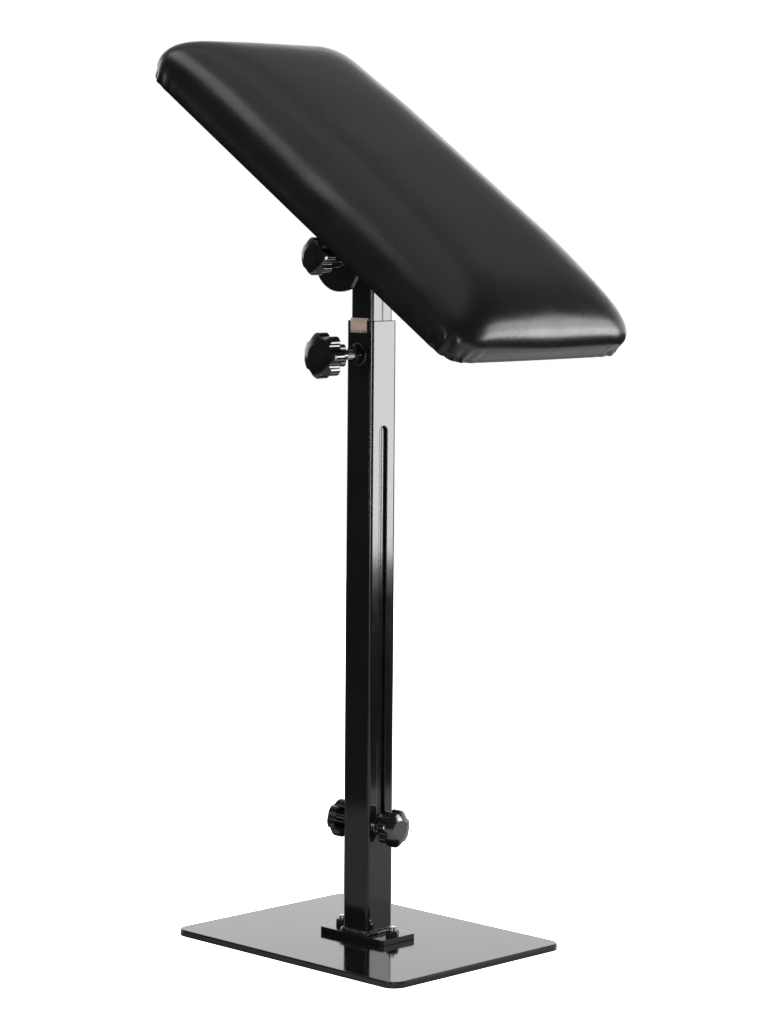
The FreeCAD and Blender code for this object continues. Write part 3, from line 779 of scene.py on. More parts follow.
@dataclass
class Cushion(PadLayer):
    """The padded rest: foam and board in a leathercloth cover, pulled in under its edge.

    A share of the height runs from 0 at the underside to 1 at the crown. A pair of values is for
    the ends and for the long sides.
    """

    node: str = "pad_cover"
    corner_radius: float = 22 * MM
    middle_height_share: float = 1.13
    low_end_share: float = 0.82
    high_end_share: float = 0.95
    end_power: float = 3.0
    side_height_drop: float = 0.05
    crown_reach_share: float = 0.30
    crown_power: float = 2.3
    widest_shares: tuple[float, float] = (0.34, 0.22)
    under_reaches: tuple[float, float] = (7.5 * MM, 5.0 * MM)
    levels: int = 14
    corner_steps: int = 10
    start_smaller: float = 0.5 * MM
    voxel: float = 4.2 * MM
    smooth_rounds: int = 3
    held_height: float = 2 * MM
    quality: int = 6
    mass: float = 0.3
    air_damping: float = 2.0
    pressure: float = 4.0
    stretch: float = 4.0
    bend: float = 8.0
    sim_frames: int = 20
    swell_cap: float = 2.5 * MM
    evening_rounds: int = 30
    pleat_depth: float = 2.0 * MM
    pleat_pitch: float = 13 * MM
    pleat_spread: float = 24 * MM
    pleat_drift: float = 2.5 * MM
    pleat_sharpness: float = 1.5
    pleat_height_share: float = 0.5
    hem_slack: float = 0.6 * MM
    waves: float = 0.9 * MM
    wave_size: float = 75 * MM
    wave_shares: tuple[float, float] = (0.02, 0.3)

    def drawn_in(self, share: float, axis: int) -> float:
        """How far the outline lies inside the widest one at a share of the height.

        Args:
            share: the share of the height.
            axis: 0 for the ends and 1 for the long sides.

        Returns:
            The distance, in metres.
        """
        widest = self.widest_shares[axis]
        if share < widest:
            down = 1 - share / widest
            return self.under_reaches[axis] * (1 - math.sqrt(max(1 - down * down, 0)))
        up = (share - widest) / (1 - widest)
        rest = max(1 - up ** self.crown_power, 0) ** (1 / self.crown_power)
        return self.crown_reach_share * self.size.y * (1 - rest)

    def block(self) -> bmesh.types.BMesh:
        """A rounded block, sliced into levels that are drawn in to the cushion's outline.

        Returns:
            The block, in the pad's frame.
        """
        bm = bmesh.new()
        bmesh.ops.create_cube(bm, size=1.0)
        size = self.size - Vector((2, 2, 1)) * self.start_smaller
        bmesh.ops.scale(bm, vec=size, verts=bm.verts)
        shift(bm, bm.verts, self.centre - Vector((0, 0, self.start_smaller / 2)))
        upright = [e for e in bm.edges if abs(e.verts[0].co.z - e.verts[1].co.z) > size.z / 2]
        bmesh.ops.bevel(
            bm, geom=upright, offset=self.corner_radius, offset_type="OFFSET", affect="EDGES",
            segments=self.corner_steps, profile=0.5, material=-1,
        )
        for i in range(1, self.levels):
            share = math.sin(i / self.levels * math.pi / 2)
            cut(bm, Vector((0, 0, self.low.z + share * size.z)), Vector((0, 0, 1)))
        for vertex in bm.verts:
            share = (vertex.co.z - self.low.z) / size.z
            for axis in (0, 1):
                side = math.copysign(1, vertex.co[axis] - self.centre[axis])
                vertex.co[axis] -= side * self.drawn_in(share, axis)
        return bm

    def even_mesh(self, piece: bpy.types.Object) -> None:
        """Gives the cushion an even mesh for the cloth.

        Args:
            piece: the cushion.
        """
        remesh = piece.modifiers.new("even", "REMESH")
        remesh.mode = "VOXEL"
        remesh.voxel_size = self.voxel
        remesh.use_smooth_shade = True
        apply_modifiers(piece)
        bm = bmesh.new()
        bm.from_mesh(piece.data)
        for _ in range(self.smooth_rounds):
            bmesh.ops.smooth_vert(
                bm, verts=bm.verts, factor=0.5, use_axis_x=True, use_axis_y=True, use_axis_z=True,
            )
        bm.to_mesh(piece.data)
        bm.free()

    def crown(self, piece: bpy.types.Object) -> None:
        """Makes the cushion full in its middle and thin at its ends.

        Args:
            piece: the cushion, whose mesh is moved.
        """
        for vertex in piece.data.vertices:
            along = abs(vertex.co.x - self.centre.x) / (self.size.x / 2)
            across = abs(vertex.co.y - self.centre.y) / (self.size.y / 2)
            end = self.low_end_share if vertex.co.x > self.centre.x else self.high_end_share
            drop = (self.middle_height_share - end) * along ** self.end_power
            share = self.middle_height_share - drop - self.side_height_drop * across ** 2
            above = vertex.co.z - self.low.z - self.widest_shares[1] * self.size.z
            vertex.co.z += max(above, 0) * (share - 1)

    def add_cloth(self, piece: bpy.types.Object) -> None:
        """Makes the cushion's skin a cloth under pressure that is held along its underside.

        Args:
            piece: the cushion.
        """
        held = piece.vertex_groups.new(name="held")
        top = self.low.z + self.held_height
        held.add([v.index for v in piece.data.vertices if v.co.z < top], 1.0, "REPLACE")
        cloth = piece.modifiers.new("swell", "CLOTH")
        settings = cloth.settings
        settings.quality = self.quality
        settings.mass = self.mass
        settings.tension_stiffness = self.stretch
        settings.compression_stiffness = self.stretch
        settings.shear_stiffness = self.stretch
        settings.bending_stiffness = self.bend
        settings.air_damping = self.air_damping
        settings.use_pressure = True
        settings.uniform_pressure_force = self.pressure
        settings.effector_weights.gravity = 0
        settings.vertex_group_mass = held.name
        cloth.collision_settings.use_collision = False
        cloth.point_cache.frame_end = self.sim_frames

    def swell(self, piece: bpy.types.Object) -> None:
        """Blows the cover up as cloth, evens the result and keeps a share of it within a cap.

        Args:
            piece: the cushion, whose mesh gets the result.
        """
        start = [v.co.copy() for v in piece.data.vertices]
        self.add_cloth(piece)
        scene = bpy.context.scene
        for number in range(1, self.sim_frames + 1):
            scene.frame_set(number)
        apply_modifiers(piece)
        moves = [v.co - rest for v, rest in zip(piece.data.vertices, start)]
        moves = self.evened(piece, moves)
        largest = max(m.length for m in moves)
        kept = min(self.swell_cap / largest, 1.0)
        LOG.info("the cover swells by %.1f mm, of which %.0f%% is kept", largest / MM, kept * 100)
        for vertex, rest, way in zip(piece.data.vertices, start, moves):
            vertex.co = rest + way * kept
        scene.frame_set(1)
        piece.vertex_groups.clear()

    def evened(self, piece: bpy.types.Object, moves: list[Vector]) -> list[Vector]:
        """Spreads each vertex's move over its neighbours, as taut leathercloth does.

        Args:
            piece: the cushion.
            moves: the move of each vertex.

        Returns:
            The evened moves.
        """
        near = [[] for _ in piece.data.vertices]
        for edge in piece.data.edges:
            a, b = edge.vertices
            near[a].append(b)
            near[b].append(a)
        for _ in range(self.evening_rounds):
            moves = [
                (own + sum((moves[i] for i in around), Vector()) / len(around)) / 2
                for own, around in zip(moves, near)
            ]
        return moves

    def along_corner(self, point: Vector) -> float:
        """How far round the edge a point lies from the middle of its nearest corner.

        Args:
            point: a point of the cushion, in the pad's frame.

        Returns:
            The distance, positive toward the long side.
        """
        u, v = self.past_hub(point)
        half_arc = self.corner_radius * math.pi / 4
        if u > 0 and v > 0:
            return self.corner_radius * math.atan2(v, u) - half_arc
        if v >= u:
            return half_arc - u
        return v - half_arc

    def pleat(self, point: Vector, share: float) -> float:
        """The depth of the gathers that pull the cover round a corner.

        Args:
            point: a point of the cushion, in the pad's frame.
            share: the point's share of the height.

        Returns:
            The depth, in metres.
        """
        along = self.along_corner(point)
        corner = Vector((
            math.copysign(3, point.x - self.centre.x), math.copysign(5, point.y), 0,
        ))
        spread = math.exp(-((along / self.pleat_spread) ** 2))
        lean = noise.noise(corner + Vector((along * 60, point.z * 25, 0)))
        turns = (along + self.pleat_drift * lean) / self.pleat_pitch
        fold = (0.5 - 0.5 * math.cos(TURN * turns)) ** self.pleat_sharpness
        fade = smooth_step(self.pleat_height_share, 0.0, share)
        rim = smooth_step(0.0, self.corner_radius * 2 / 3, max(self.past_hub(point)))
        return self.pleat_depth * spread * fold * fade * rim

    def gather(self, piece: bpy.types.Object) -> None:
        """Presses the gathers and the unevenness of the foam into the fine mesh.

        Args:
            piece: the cushion, whose mesh is moved.
        """
        mesh = piece.data
        normals = [v.normal.copy() for v in mesh.vertices]
        for vertex, normal in zip(mesh.vertices, normals):
            point = vertex.co.copy()
            share = (point.z - self.low.z) / self.size.z
            above = smooth_step(*self.wave_shares, share)
            wave = self.waves * above * wander(point, self.wave_size, 4.0)
            vertex.co = point + normal * (wave - self.pleat(point, share))
            if normal.z < -0.5:
                vertex.co.z = min(vertex.co.z, self.low.z + self.hem_slack)

    def build(self, materials: dict[Slot, bpy.types.Material]) -> None:
        """Models the cushion.

        Args:
            materials: the finishes.
        """
        piece = make_object(self.block(), "rest_cushion")
        self.even_mesh(piece)
        self.crown(piece)
        self.swell(piece)
        finer = piece.modifiers.new("finer", "SUBSURF")
        finer.levels = finer.render_levels = 1
        apply_modifiers(piece)
        self.gather(piece)
        self.place.settle(piece)
        dress(piece, "pad", materials[Slot.LEATHER])
        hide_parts("pad_cover", "pad_foam")


@dataclass
class BackSheet(PadLayer):
    """The vinyl sheet stapled over the back of the pad, with its puckers and staples."""

    node: str = "pad_back"
    corner_radius: float = 9 * MM
    corner_cuts: int = 6
    cell: float = 2.5 * MM
    thickness: float = 0.8 * MM
    hem_line: float = 18 * MM
    hem_step: float = 0.9 * MM
    hem_blur: float = 1.5 * MM
    rim_reach: float = 4 * MM
    pucker: float = 0.9 * MM
    pucker_reach: float = 16 * MM
    pucker_folds: int = 6
    pucker_most: float = 1.2
    staple_reach: float = 5 * MM
    slack: float = 0.5 * MM
    slack_size: float = 60 * MM
    plate_reach: float = 12 * MM
    staple_span: float = 11 * MM
    staple_wire: float = 1.0 * MM
    staple_leg: float = 4 * MM
    staple_bend: float = 1.2 * MM
    staple_bend_steps: int = 4
    staple_skew: float = 9.0

    def __post_init__(self) -> None:
        """Reads the sheet, the staples and the bracket from the frame."""
        super().__post_init__()
        self.plate = self.place.box("pad_bracket")
        self.staples = []
        for group in islands("pad_staples"):
            points = [self.place.inverse @ p for p in group]
            spans = [max(p[i] for p in points) - min(p[i] for p in points) for i in (0, 1)]
            middle = sum(points, Vector()) / len(points)
            self.staples.append((middle, spans[0] < spans[1]))

    def edge_distance(self, point: Vector) -> float:
        """How far inside the sheet's rounded edge a point lies.

        Args:
            point: a point of the sheet, in the pad's frame.

        Returns:
            The distance, in metres.
        """
        u, v = self.past_hub(point)
        if u > 0 and v > 0:
            return self.corner_radius - math.hypot(u, v)
        return self.corner_radius - max(u, v)

    def bulge(self, point: Vector) -> float:
        """How far the sheet stands out from its flat place.

        The hem under it lifts its rim, each staple holds it down between puckers, its middle is
        slack, and the bracket's plate presses it flat.

        Args:
            point: a point of the sheet, in the pad's frame.

        Returns:
            The height, in metres.
        """
        inside = self.edge_distance(point)
        inner, outer = self.hem_line + self.hem_blur, self.hem_line - self.hem_blur
        height = self.hem_step * smooth_step(inner, outer, inside)
        height *= smooth_step(0.0, self.rim_reach, inside)
        pull = 0.0
        for middle, _ in self.staples:
            offset = Vector((point.x - middle.x, point.y - middle.y))
            reach = offset.length
            if reach > self.pucker_reach * 3:
                continue
            angle = math.atan2(offset.y, offset.x)
            folds = 0.5 + 0.5 * math.cos(self.pucker_folds * angle + middle.x * 40)
            fade = math.exp(-reach / self.pucker_reach) * smooth_step(1 * MM, 6 * MM, reach)
            pull += folds * fade
            height *= smooth_step(0, self.staple_reach, reach)
        height += self.pucker * min(pull, self.pucker_most)
        soft = 0.5 + 0.5 * wander(point, self.slack_size, 9.0)
        height += self.slack * soft * smooth_step(self.hem_line, self.hem_line * 2, inside)
        low, high = self.plate
        away = max(low.x - point.x, point.x - high.x, low.y - point.y, point.y - high.y)
        return height * smooth_step(1 * MM, self.plate_reach, away)

    def sheet(self) -> bmesh.types.BMesh:
        """The sheet's outer face, cut to its rounded outline and puckered.

        Returns:
            The face, in the pad's frame.
        """
        bm = bmesh.new()
        cells = [round(self.size[i] / self.cell) for i in (0, 1)]
        bmesh.ops.create_grid(bm, x_segments=cells[0], y_segments=cells[1], size=0.5)
        bmesh.ops.scale(bm, vec=(self.size.x, self.size.y, 1), verts=bm.verts)
        place = Vector((self.centre.x, self.centre.y, self.low.z))
        shift(bm, bm.verts, place)
        hub_x, hub_y = (self.size[i] / 2 - self.corner_radius for i in (0, 1))
        for sx, sy in ((-1, -1), (-1, 1), (1, -1), (1, 1)):
            hub = place + Vector((sx * hub_x, sy * hub_y, 0))
            for i in range(self.corner_cuts):
                angle = (i + 0.5) / self.corner_cuts * math.pi / 2
                way = Vector((sx * math.cos(angle), sy * math.sin(angle), 0))
                cut(bm, hub + way * self.corner_radius, way, clear=True)
        for vertex in bm.verts:
            vertex.co.z -= self.bulge(vertex.co)
        for face in bm.faces:
            if face.normal.z > 0:
                face.normal_flip()
        return bm

    def staple(self, bm: bmesh.types.BMesh) -> list[bmesh.types.BMVert]:
        """Bends the wire of one staple about the origin: a leg, the back and a leg.

        Args:
            bm: the mesh that gets the staple.

        Returns:
            The staple's vertices.
        """
        radius = self.staple_wire / 2
        made = bmesh.ops.create_circle(bm, cap_ends=True, radius=radius, segments=8)
        wire = list(made["verts"])
        shift(bm, wire, Vector((-self.staple_span / 2, 0, self.staple_leg)))
        end = wire[0].link_faces[0]
        leg, back = self.staple_leg - self.staple_bend, self.staple_span - 2 * self.staple_bend
        before = None
        for way, length in (((0, 0, -1), leg), ((1, 0, 0), back), ((0, 0, 1), leg)):
            way = Vector(way)
            if before is not None:
                hub = end.calc_center_median() + way * self.staple_bend
                step = math.pi / 2 / self.staple_bend_steps
                for _ in range(self.staple_bend_steps):
                    verts, end = draw_out(bm, end)
                    rotate(bm, verts, step, before.cross(way), hub)
                    wire += verts
            verts, end = draw_out(bm, end)
            shift(bm, verts, way * length)
            wire += verts
            before = way
        return wire

    def staple_row(self) -> bmesh.types.BMesh:
        """The staples, each a little askew.

        Returns:
            The staples, in the pad's frame.
        """
        bm = bmesh.new()
        level = self.low.z - self.staple_wire * 0.35
        for number, (middle, across) in enumerate(self.staples):
            wire = self.staple(bm)
            skew = math.radians(self.staple_skew) * noise.noise(Vector((number * 1.37, 2.1, 0)))
            rotate(bm, wire, skew + (math.pi / 2 if across else 0), "Z")
            shift(bm, wire, Vector((middle.x, middle.y, level)))
        close_mesh(bm)
        return bm

    def build(self, materials: dict[Slot, bpy.types.Material]) -> None:
        """Models the sheet and the staples.

        Args:
            materials: the finishes.
        """
        piece = make_object(self.sheet(), "back_sheet")
        self.place.settle(piece)
        wall = piece.modifiers.new("wall", "SOLIDIFY")
        wall.thickness = self.thickness
        wall.offset = -1
        apply_modifiers(piece)
        dress(piece, "pad", materials[Slot.VINYL])
        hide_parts("pad_back")
        staples = make_object(self.staple_row(), "back_staples")
        self.place.settle(staples)
        dress(staples, "pad", materials[Slot.STAPLE])
        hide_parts("pad_staples")


# Welds and threads
@dataclass
class Weld:
    """A bead of weld along a closed loop or a short run, with its ripples."""

    radius: float = 2.4 * MM
    ripple_pitch: float = 2.6 * MM
    ripple: float = 0.35 * MM
    lumps: float = 0.5 * MM
    lump_size: float = 4 * MM
    section_steps: int = 12
    side_steps: int = 30
    corner_steps: int = 8
    ring_steps: int = 72
    seam: float = 0.02 * MM

    def section(self, offset: Vector) -> bmesh.types.BMesh:
        """A mesh with the bead's round section in it, upright.

        Args:
            offset: where the section starts its way.

        Returns:
            The mesh.
        """
        bm = bmesh.new()
        bmesh.ops.create_circle(
            bm, cap_ends=False, radius=self.radius, segments=self.section_steps,
        )
        rotate(bm, bm.verts, math.pi / 2, "X")
        shift(bm, bm.verts, offset)
        return bm

    def roughen(self, bm: bmesh.types.BMesh, along: Callable[[Vector], float]) -> None:
        """Closes a bead that runs round, and moves its vertices by its ripples and lumps.

        Args:
            bm: the bead.
            along: gives how far along the bead a point lies.
        """
        close_mesh(bm, self.seam)
        bm.normal_update()
        moves = []
        for vertex in bm.verts:
            ripple = abs(math.sin(math.pi * along(vertex.co) / self.ripple_pitch))
            lump = wander(vertex.co, self.lump_size, 2.0)
            moves.append(vertex.normal * (self.ripple * (ripple - 0.5) + self.lumps * lump))
        for vertex, way in zip(bm.verts, moves):
            vertex.co += way

    def square_loop(self, half: float, corner: float, level: float) -> bmesh.types.BMesh:
        """A bead round the foot of a square tube.

        Args:
            half: half the side of the bead's line.
            corner: the radius of the line's corners.
            level: the height of the line.

        Returns:
            The bead.
        """
        straight = half - corner
        bm = self.section(Vector((half, -straight, level)))
        loop = list(bm.edges)
        for side in range(4):
            facing = Matrix.Rotation(side * math.pi / 2, 3, "Z")
            way = facing @ Vector((0, 1, 0))
            for _ in range(self.side_steps):
                out = bmesh.ops.extrude_edge_only(bm, edges=loop)["geom"]
                verts = of_kind(out, bmesh.types.BMVert)
                edges = of_kind(out, bmesh.types.BMEdge)
                loop = [e for e in edges if all(v in verts for v in e.verts)]
                shift(bm, verts, way * (2 * straight / self.side_steps))
            ends = list(dict.fromkeys(v for e in loop for v in e.verts))
            out = bmesh.ops.spin(
                bm, geom=ends + loop, cent=facing @ Vector((straight, straight, level)),
                axis=(0, 0, 1), angle=math.pi / 2, steps=self.corner_steps, use_merge=False,
            )
            loop = of_kind(out["geom_last"], bmesh.types.BMEdge)
        self.roughen(bm, lambda p: p.y if abs(p.x) > abs(p.y) else p.x)
        return bm

    def ring(self, line: float, centre: Vector, axis: Vector) -> bmesh.types.BMesh:
        """A bead round a nut or a boss.

        Args:
            line: the radius of the bead's line.
            centre: the ring's centre.
            axis: the ring's axis.

        Returns:
            The bead.
        """
        bm = self.section(Vector((line, 0, 0)))
        bmesh.ops.spin(
            bm, geom=bm.verts[:] + bm.edges[:], cent=(0, 0, 0), axis=(0, 0, 1), angle=TURN,
            steps=self.ring_steps, use_merge=True,
        )
        self.roughen(bm, lambda p: math.atan2(p.y, p.x) * line)
        stand_along(bm, bm.verts, axis, centre)
        return bm

    def run(self, bm: bmesh.types.BMesh, start: Vector, end: Vector) -> None:
        """Adds a short straight bead with rounded ends.

        Args:
            bm: the mesh that gets the bead.
            start: where the bead starts.
            end: where it ends.
        """
        verts = bmesh.ops.create_icosphere(bm, subdivisions=4, radius=1.0)["verts"]
        length = (end - start).length / 2
        for vertex in verts:
            x, y, along = vertex.co
            ball = max(math.sqrt(max(1 - along * along, 0)), 0.05)
            full = self.radius * max(1 - abs(along) ** 4, 0) ** 0.25 / ball
            vertex.co = Vector((x * full, y * full, along * length))
            swell = self.ripple * abs(math.sin(math.pi * vertex.co.z / self.ripple_pitch))
            swell += self.lumps * wander(vertex.co, self.lump_size, 6.0)
            way = Vector((vertex.co.x, vertex.co.y, 0))
            if way.length > 0:
                vertex.co += way.normalized() * swell
        stand_along(bm, verts, end - start, (start + end) / 2)


@dataclass
class Thread:
    """A threaded rod: a profile spun along a screw line and cut square at its ends.

    Each point of the profile has its share of the thread's depth and of its pitch.
    """

    radius: float = 4.0 * MM
    pitch: float = 1.25 * MM
    depth: float = 0.65 * MM
    segments: int = 24
    profile: tuple[tuple[float, float], ...] = (
        (0, 0.0), (0, 0.12), (1, 0.45), (1, 0.58), (0, 0.88), (0, 1.0),
    )

    def rod(self, length: float) -> bmesh.types.BMesh:
        """A rod along +Z from the origin.

        Args:
            length: the rod's length.

        Returns:
            The rod.
        """
        bm = bmesh.new()
        root = self.radius - self.depth
        line = [
            bm.verts.new((root + out * self.depth, 0, (up - 1) * self.pitch))
            for out, up in self.profile
        ]
        edges = [bm.edges.new(pair) for pair in zip(line, line[1:])]
        turns = math.ceil(length / self.pitch) + 1
        bmesh.ops.spin(
            bm, geom=line + edges, cent=(0, 0, 0), axis=(0, 0, 1), angle=TURN * turns,
            dvec=(0, 0, self.pitch / self.segments), steps=turns * self.segments, use_merge=False,
        )
        bmesh.ops.remove_doubles(bm, verts=bm.verts, dist=0.005 * MM)
        for level, way in ((0.0, -1), (length, 1)):
            cut(bm, Vector((0, 0, level)), Vector((0, 0, way)), clear=True, near=0.001 * MM)
            rim = [
                e for e in bm.edges
                if e.is_boundary and all(abs(v.co.z - level) < 0.01 * MM for v in e.verts)
            ]
            bmesh.ops.holes_fill(bm, edges=rim, sides=0)
        close_mesh(bm)
        return bm


# Steel work
@dataclass
class SteelWork:
    """The finer welds of the column and the mast, and the threaded set screw."""

    tube_half: float = 15 * MM
    foot_corner: float = 4 * MM
    foot_out: float = 0.6 * MM
    foot_up: float = 0.8 * MM
    nut_in: float = 2 * MM
    nut_sink: float = 0.4 * MM
    disc_in: float = 1 * MM
    disc_end: float = 3 * MM
    foot_bead: Weld = field(default_factory=lambda: Weld(radius=2.6 * MM))
    nut_bead: Weld = field(
        default_factory=lambda: Weld(radius=1.5 * MM, ripple=0.25 * MM, lumps=0.35 * MM))
    disc_bead: Weld = field(
        default_factory=lambda: Weld(radius=1.7 * MM, ripple=0.3 * MM, lumps=0.4 * MM))
    thread: Thread = field(default_factory=Thread)

    def welds_of_base(self, paint: bpy.types.Material) -> None:
        """Models the bead round the column's foot and the one round the set screw's nut.

        Args:
            paint: the finish of a painted weld.
        """
        low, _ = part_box("foot_weld")
        line, level = self.tube_half + self.foot_out, low.z + self.foot_up
        foot = make_object(self.foot_bead.square_loop(line, self.foot_corner, level), "foot_bead")
        dress(foot, "base", paint)
        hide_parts("foot_weld")

        low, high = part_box("set_nut_weld")
        centre = Vector(((low.x + high.x) / 2, high.y - self.nut_sink, (low.z + high.z) / 2))
        line = (high.x - low.x) / 2 - self.nut_in
        ring = make_object(self.nut_bead.ring(line, centre, Vector((0, -1, 0))), "nut_bead")
        dress(ring, "base", paint)
        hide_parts("set_nut_weld")

    def welds_of_mast(self, paint: bpy.types.Material) -> None:
        """Models the two upright beads of the toothed disc's boss.

        Args:
            paint: the finish of a painted weld.
        """
        low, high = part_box("disc_weld")
        bm = bmesh.new()
        y = (low.y + high.y) / 2
        for x in (low.x + self.disc_in, high.x - self.disc_in):
            foot, top = (x, y, low.z + self.disc_end), (x, y, high.z - self.disc_end)
            self.disc_bead.run(bm, Vector(foot), Vector(top))
        close_mesh(bm)
        beads = make_object(bm, "disc_beads")
        dress(beads, "mast", paint)
        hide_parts("disc_weld")

    def set_screw(self, zinc: bpy.types.Material) -> None:
        """Models the set screw with its thread.

        Args:
            zinc: the screw's finish.
        """
        low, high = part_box("set_screw")
        bm = self.thread.rod(high.y - low.y)
        place = Vector(((low.x + high.x) / 2, high.y, (low.z + high.z) / 2))
        stand_along(bm, bm.verts, Vector((0, -1, 0)), place)
        screw = make_object(bm, "set_screw_thread")
        dress(screw, "set_screw", zinc)
        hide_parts("set_screw")

    def build(self, materials: dict[Slot, bpy.types.Material]) -> None:
        """Models the welds and the set screw.

        Args:
            materials: the finishes.
        """
        self.welds_of_base(materials[Slot.WELD])
        self.welds_of_mast(materials[Slot.WELD])
        self.set_screw(materials[Slot.ZINC])


def dress_cad_nodes(materials: dict[Slot, bpy.types.Material]) -> None:
    """Gives every CAD node the finish of its slot.

    Args:
        materials: the finishes.
    """
    slots = {row["node"]: Slot(row["material_slot"]) for row in frame["record"]["subparts"]}
    for name, node in frame["nodes"].items():
        for entry in node.material_slots:
            entry.material = materials[slots[name]]
        LOG.info("%s keeps its shape, in %s", name, slots[name].value)


# Stage
@dataclass(frozen=True)
class SoftBox:
    """A rectangular lamp.

    Its radiance is how bright its face is, where white paper in plain light is 1.
    """

    name: str
    place: Vector
    aim: Vector
    width: float
    height: float
    radiance: float

    def build(self) -> bpy.types.Object:
        """Hangs the lamp, out of the camera's sight.

        Returns:
            The lamp.
        """
        data = bpy.data.lights.new(self.name, "AREA")
        data.shape = "RECTANGLE"
        data.size, data.size_y = self.width, self.height
        data.energy = self.radiance * math.pi * self.width * self.height
        lamp = bpy.data.objects.new(self.name, data)
        bpy.context.scene.collection.objects.link(lamp)
        lamp.location = self.place
        lamp.rotation_mode = "QUATERNION"
        lamp.rotation_quaternion = (self.place - self.aim).to_track_quat("Z", "Y")
        lamp.visible_camera = False
        return lamp


@dataclass
class Studio:
    """The pale table, the backdrop, the soft boxes and the camera.

    The side panels stand to the right of the stand, as the camera sees it, and face its column.
    """

    target: Vector = field(default_factory=lambda: Vector((0, 23.5, 367)) * MM)
    azimuth: float = 44.65
    elevation: float = 5.84
    roll: float = 0.46
    distance: float = 2700 * MM
    film_width: float = 36.0
    frame_height_px: float = 1024.0
    focal_px: float = 3185.0
    table_sides: tuple[float, float] = (-610 * MM, 720 * MM)
    table_length: float = 5000 * MM
    table_sink: float = 0.2 * MM
    # painted shade: the table is pale on the side of the side panels and painted darker on the other side
    table_pale_side: Colour = (0.76, 0.76, 0.76)
    table_painted_shade: Colour = (0.34, 0.34, 0.34)
    shadow_strength: float = 0.55
    room_drop: float = 750 * MM
    room_radius: float = 12.0
    room_dark: Colour = (0.012, 0.012, 0.012)
    room_light: Colour = (0.02, 0.02, 0.02)
    side_distance: float = 1.6
    panel_foot: float = 142 * MM
    panel_height: float = 510 * MM
    panel_width: float = 500 * MM
    panel_glow_height: float = 450 * MM
    panel_radiance: float = 12.5
    glow_radiance: float = 7.5
    wash_radiance: float = 2.0
    front_distance: float = 2.4
    front_level: float = 0.27
    front_size: tuple[float, float] = (0.5, 0.44)
    front_radiance: float = 14.0
    top_box: SoftBox = field(default_factory=lambda: SoftBox(
        "top_box", Vector((-0.70, -0.72, 2.0)), Vector((0, 0, 0.45)), 1.2, 0.62, 2.3))
    front_strip: SoftBox = field(default_factory=lambda: SoftBox(
        "front_strip", Vector((-0.25, -2.5, 0.75)), Vector((0, 0, 0.3)), 0.16, 1.3, 8.0))
    flat_plates: tuple[str, ...] = ("base_plate", "foot_flange")
    knobs: tuple[str, ...] = ("set_knob", "pivot_knob", "height_knob_low", "height_knob_high")
    backdrop_low: float = 1.7
    backdrop_high: float = 0.24
    backdrop_side: tuple[float, float] = (0.1, 0.6)
    backdrop_rise: tuple[float, float] = (0.15, 0.5)
    backdrop_middle: tuple[float, float] = (0.93, 0.985)
    horizon: tuple[float, float] = (-0.12, -0.01)
    room_glow: float = 0.05
    ceiling_glow: float = 0.55
    ceiling_rise: tuple[float, float] = (0.80, 0.96)
    plain_light: float = 0.85

    def camera(self) -> None:
        """Places the camera where the photograph was taken from."""
        a, e = math.radians(self.azimuth), math.radians(self.elevation)
        back = Vector((math.sin(a) * math.cos(e), -math.cos(a) * math.cos(e), math.sin(e)))
        data = bpy.data.cameras.new("camera")
        data.sensor_width = self.film_width
        data.lens = self.film_width * self.focal_px / self.frame_height_px
        data.clip_start = 100 * MM
        data.clip_end = 50.0
        eye = bpy.data.objects.new("camera", data)
        bpy.context.scene.collection.objects.link(eye)
        facing = back.to_track_quat("Z", "Y").to_matrix()
        facing = facing @ Matrix.Rotation(math.radians(self.roll), 3, "Z")
        eye.matrix_world = (
            Matrix.Translation(self.target + back * self.distance) @ facing.to_4x4()
        )
        bpy.context.scene.camera = eye

    def side_box(self, name: str, foot: float, height: float, radiance: float) -> bpy.types.Object:
        """One of the upright soft boxes at the side.

        Args:
            name: the lamp's name.
            foot: how high its lower edge hangs.
            height: its height.
            radiance: how bright its face is.

        Returns:
            The lamp.
        """
        middle = Vector((0, 0, foot + height / 2))
        place = Vector((math.sqrt(0.5), math.sqrt(0.5), 0)) * self.side_distance + middle
        return SoftBox(name, place, middle, self.panel_width, height, radiance).build()

    def linked(
        self, name: str, state: str, nodes: tuple[str, ...], *lamps: bpy.types.Object,
    ) -> None:
        """Keeps lamps off some nodes, or on them alone, as flags and grids do in a studio.

        Args:
            name: the name of the set of nodes.
            state: EXCLUDE to keep the lamps off them, INCLUDE to keep the lamps on them alone.
            nodes: the nodes.
            *lamps: the lamps.
        """
        group = bpy.data.collections.new(name)
        for node in nodes:
            group.objects.link(bpy.data.objects[node])
        for link in group.collection_objects:
            link.light_linking.link_state = state
        for lamp in lamps:
            lamp.light_linking.receiver_collection = group

    def lights(self) -> None:
        """The panels at the side, the box overhead, and the panel and the strip in front."""
        panel_top = self.panel_foot + self.panel_height
        both = self.panel_height + self.panel_glow_height
        panel = self.side_box(
            "side_panel", self.panel_foot, self.panel_height, self.panel_radiance)
        glow = self.side_box("side_glow", panel_top, self.panel_glow_height, self.glow_radiance)
        wash = self.side_box("plate_wash", self.panel_foot, both, self.wash_radiance)
        self.linked("shaded_plates", "EXCLUDE", self.flat_plates, panel, glow)
        self.linked("washed_plates", "INCLUDE", self.flat_plates, wash)
        self.top_box.build()
        a = math.radians(self.azimuth)
        level = Vector((0, 0, self.front_level))
        place = Vector((math.sin(a), -math.cos(a), 0)) * self.front_distance + level
        SoftBox("front_panel", place, level, *self.front_size, self.front_radiance).build()
        strip = self.front_strip.build()
        self.linked("shaded_knobs", "EXCLUDE", self.knobs, strip)

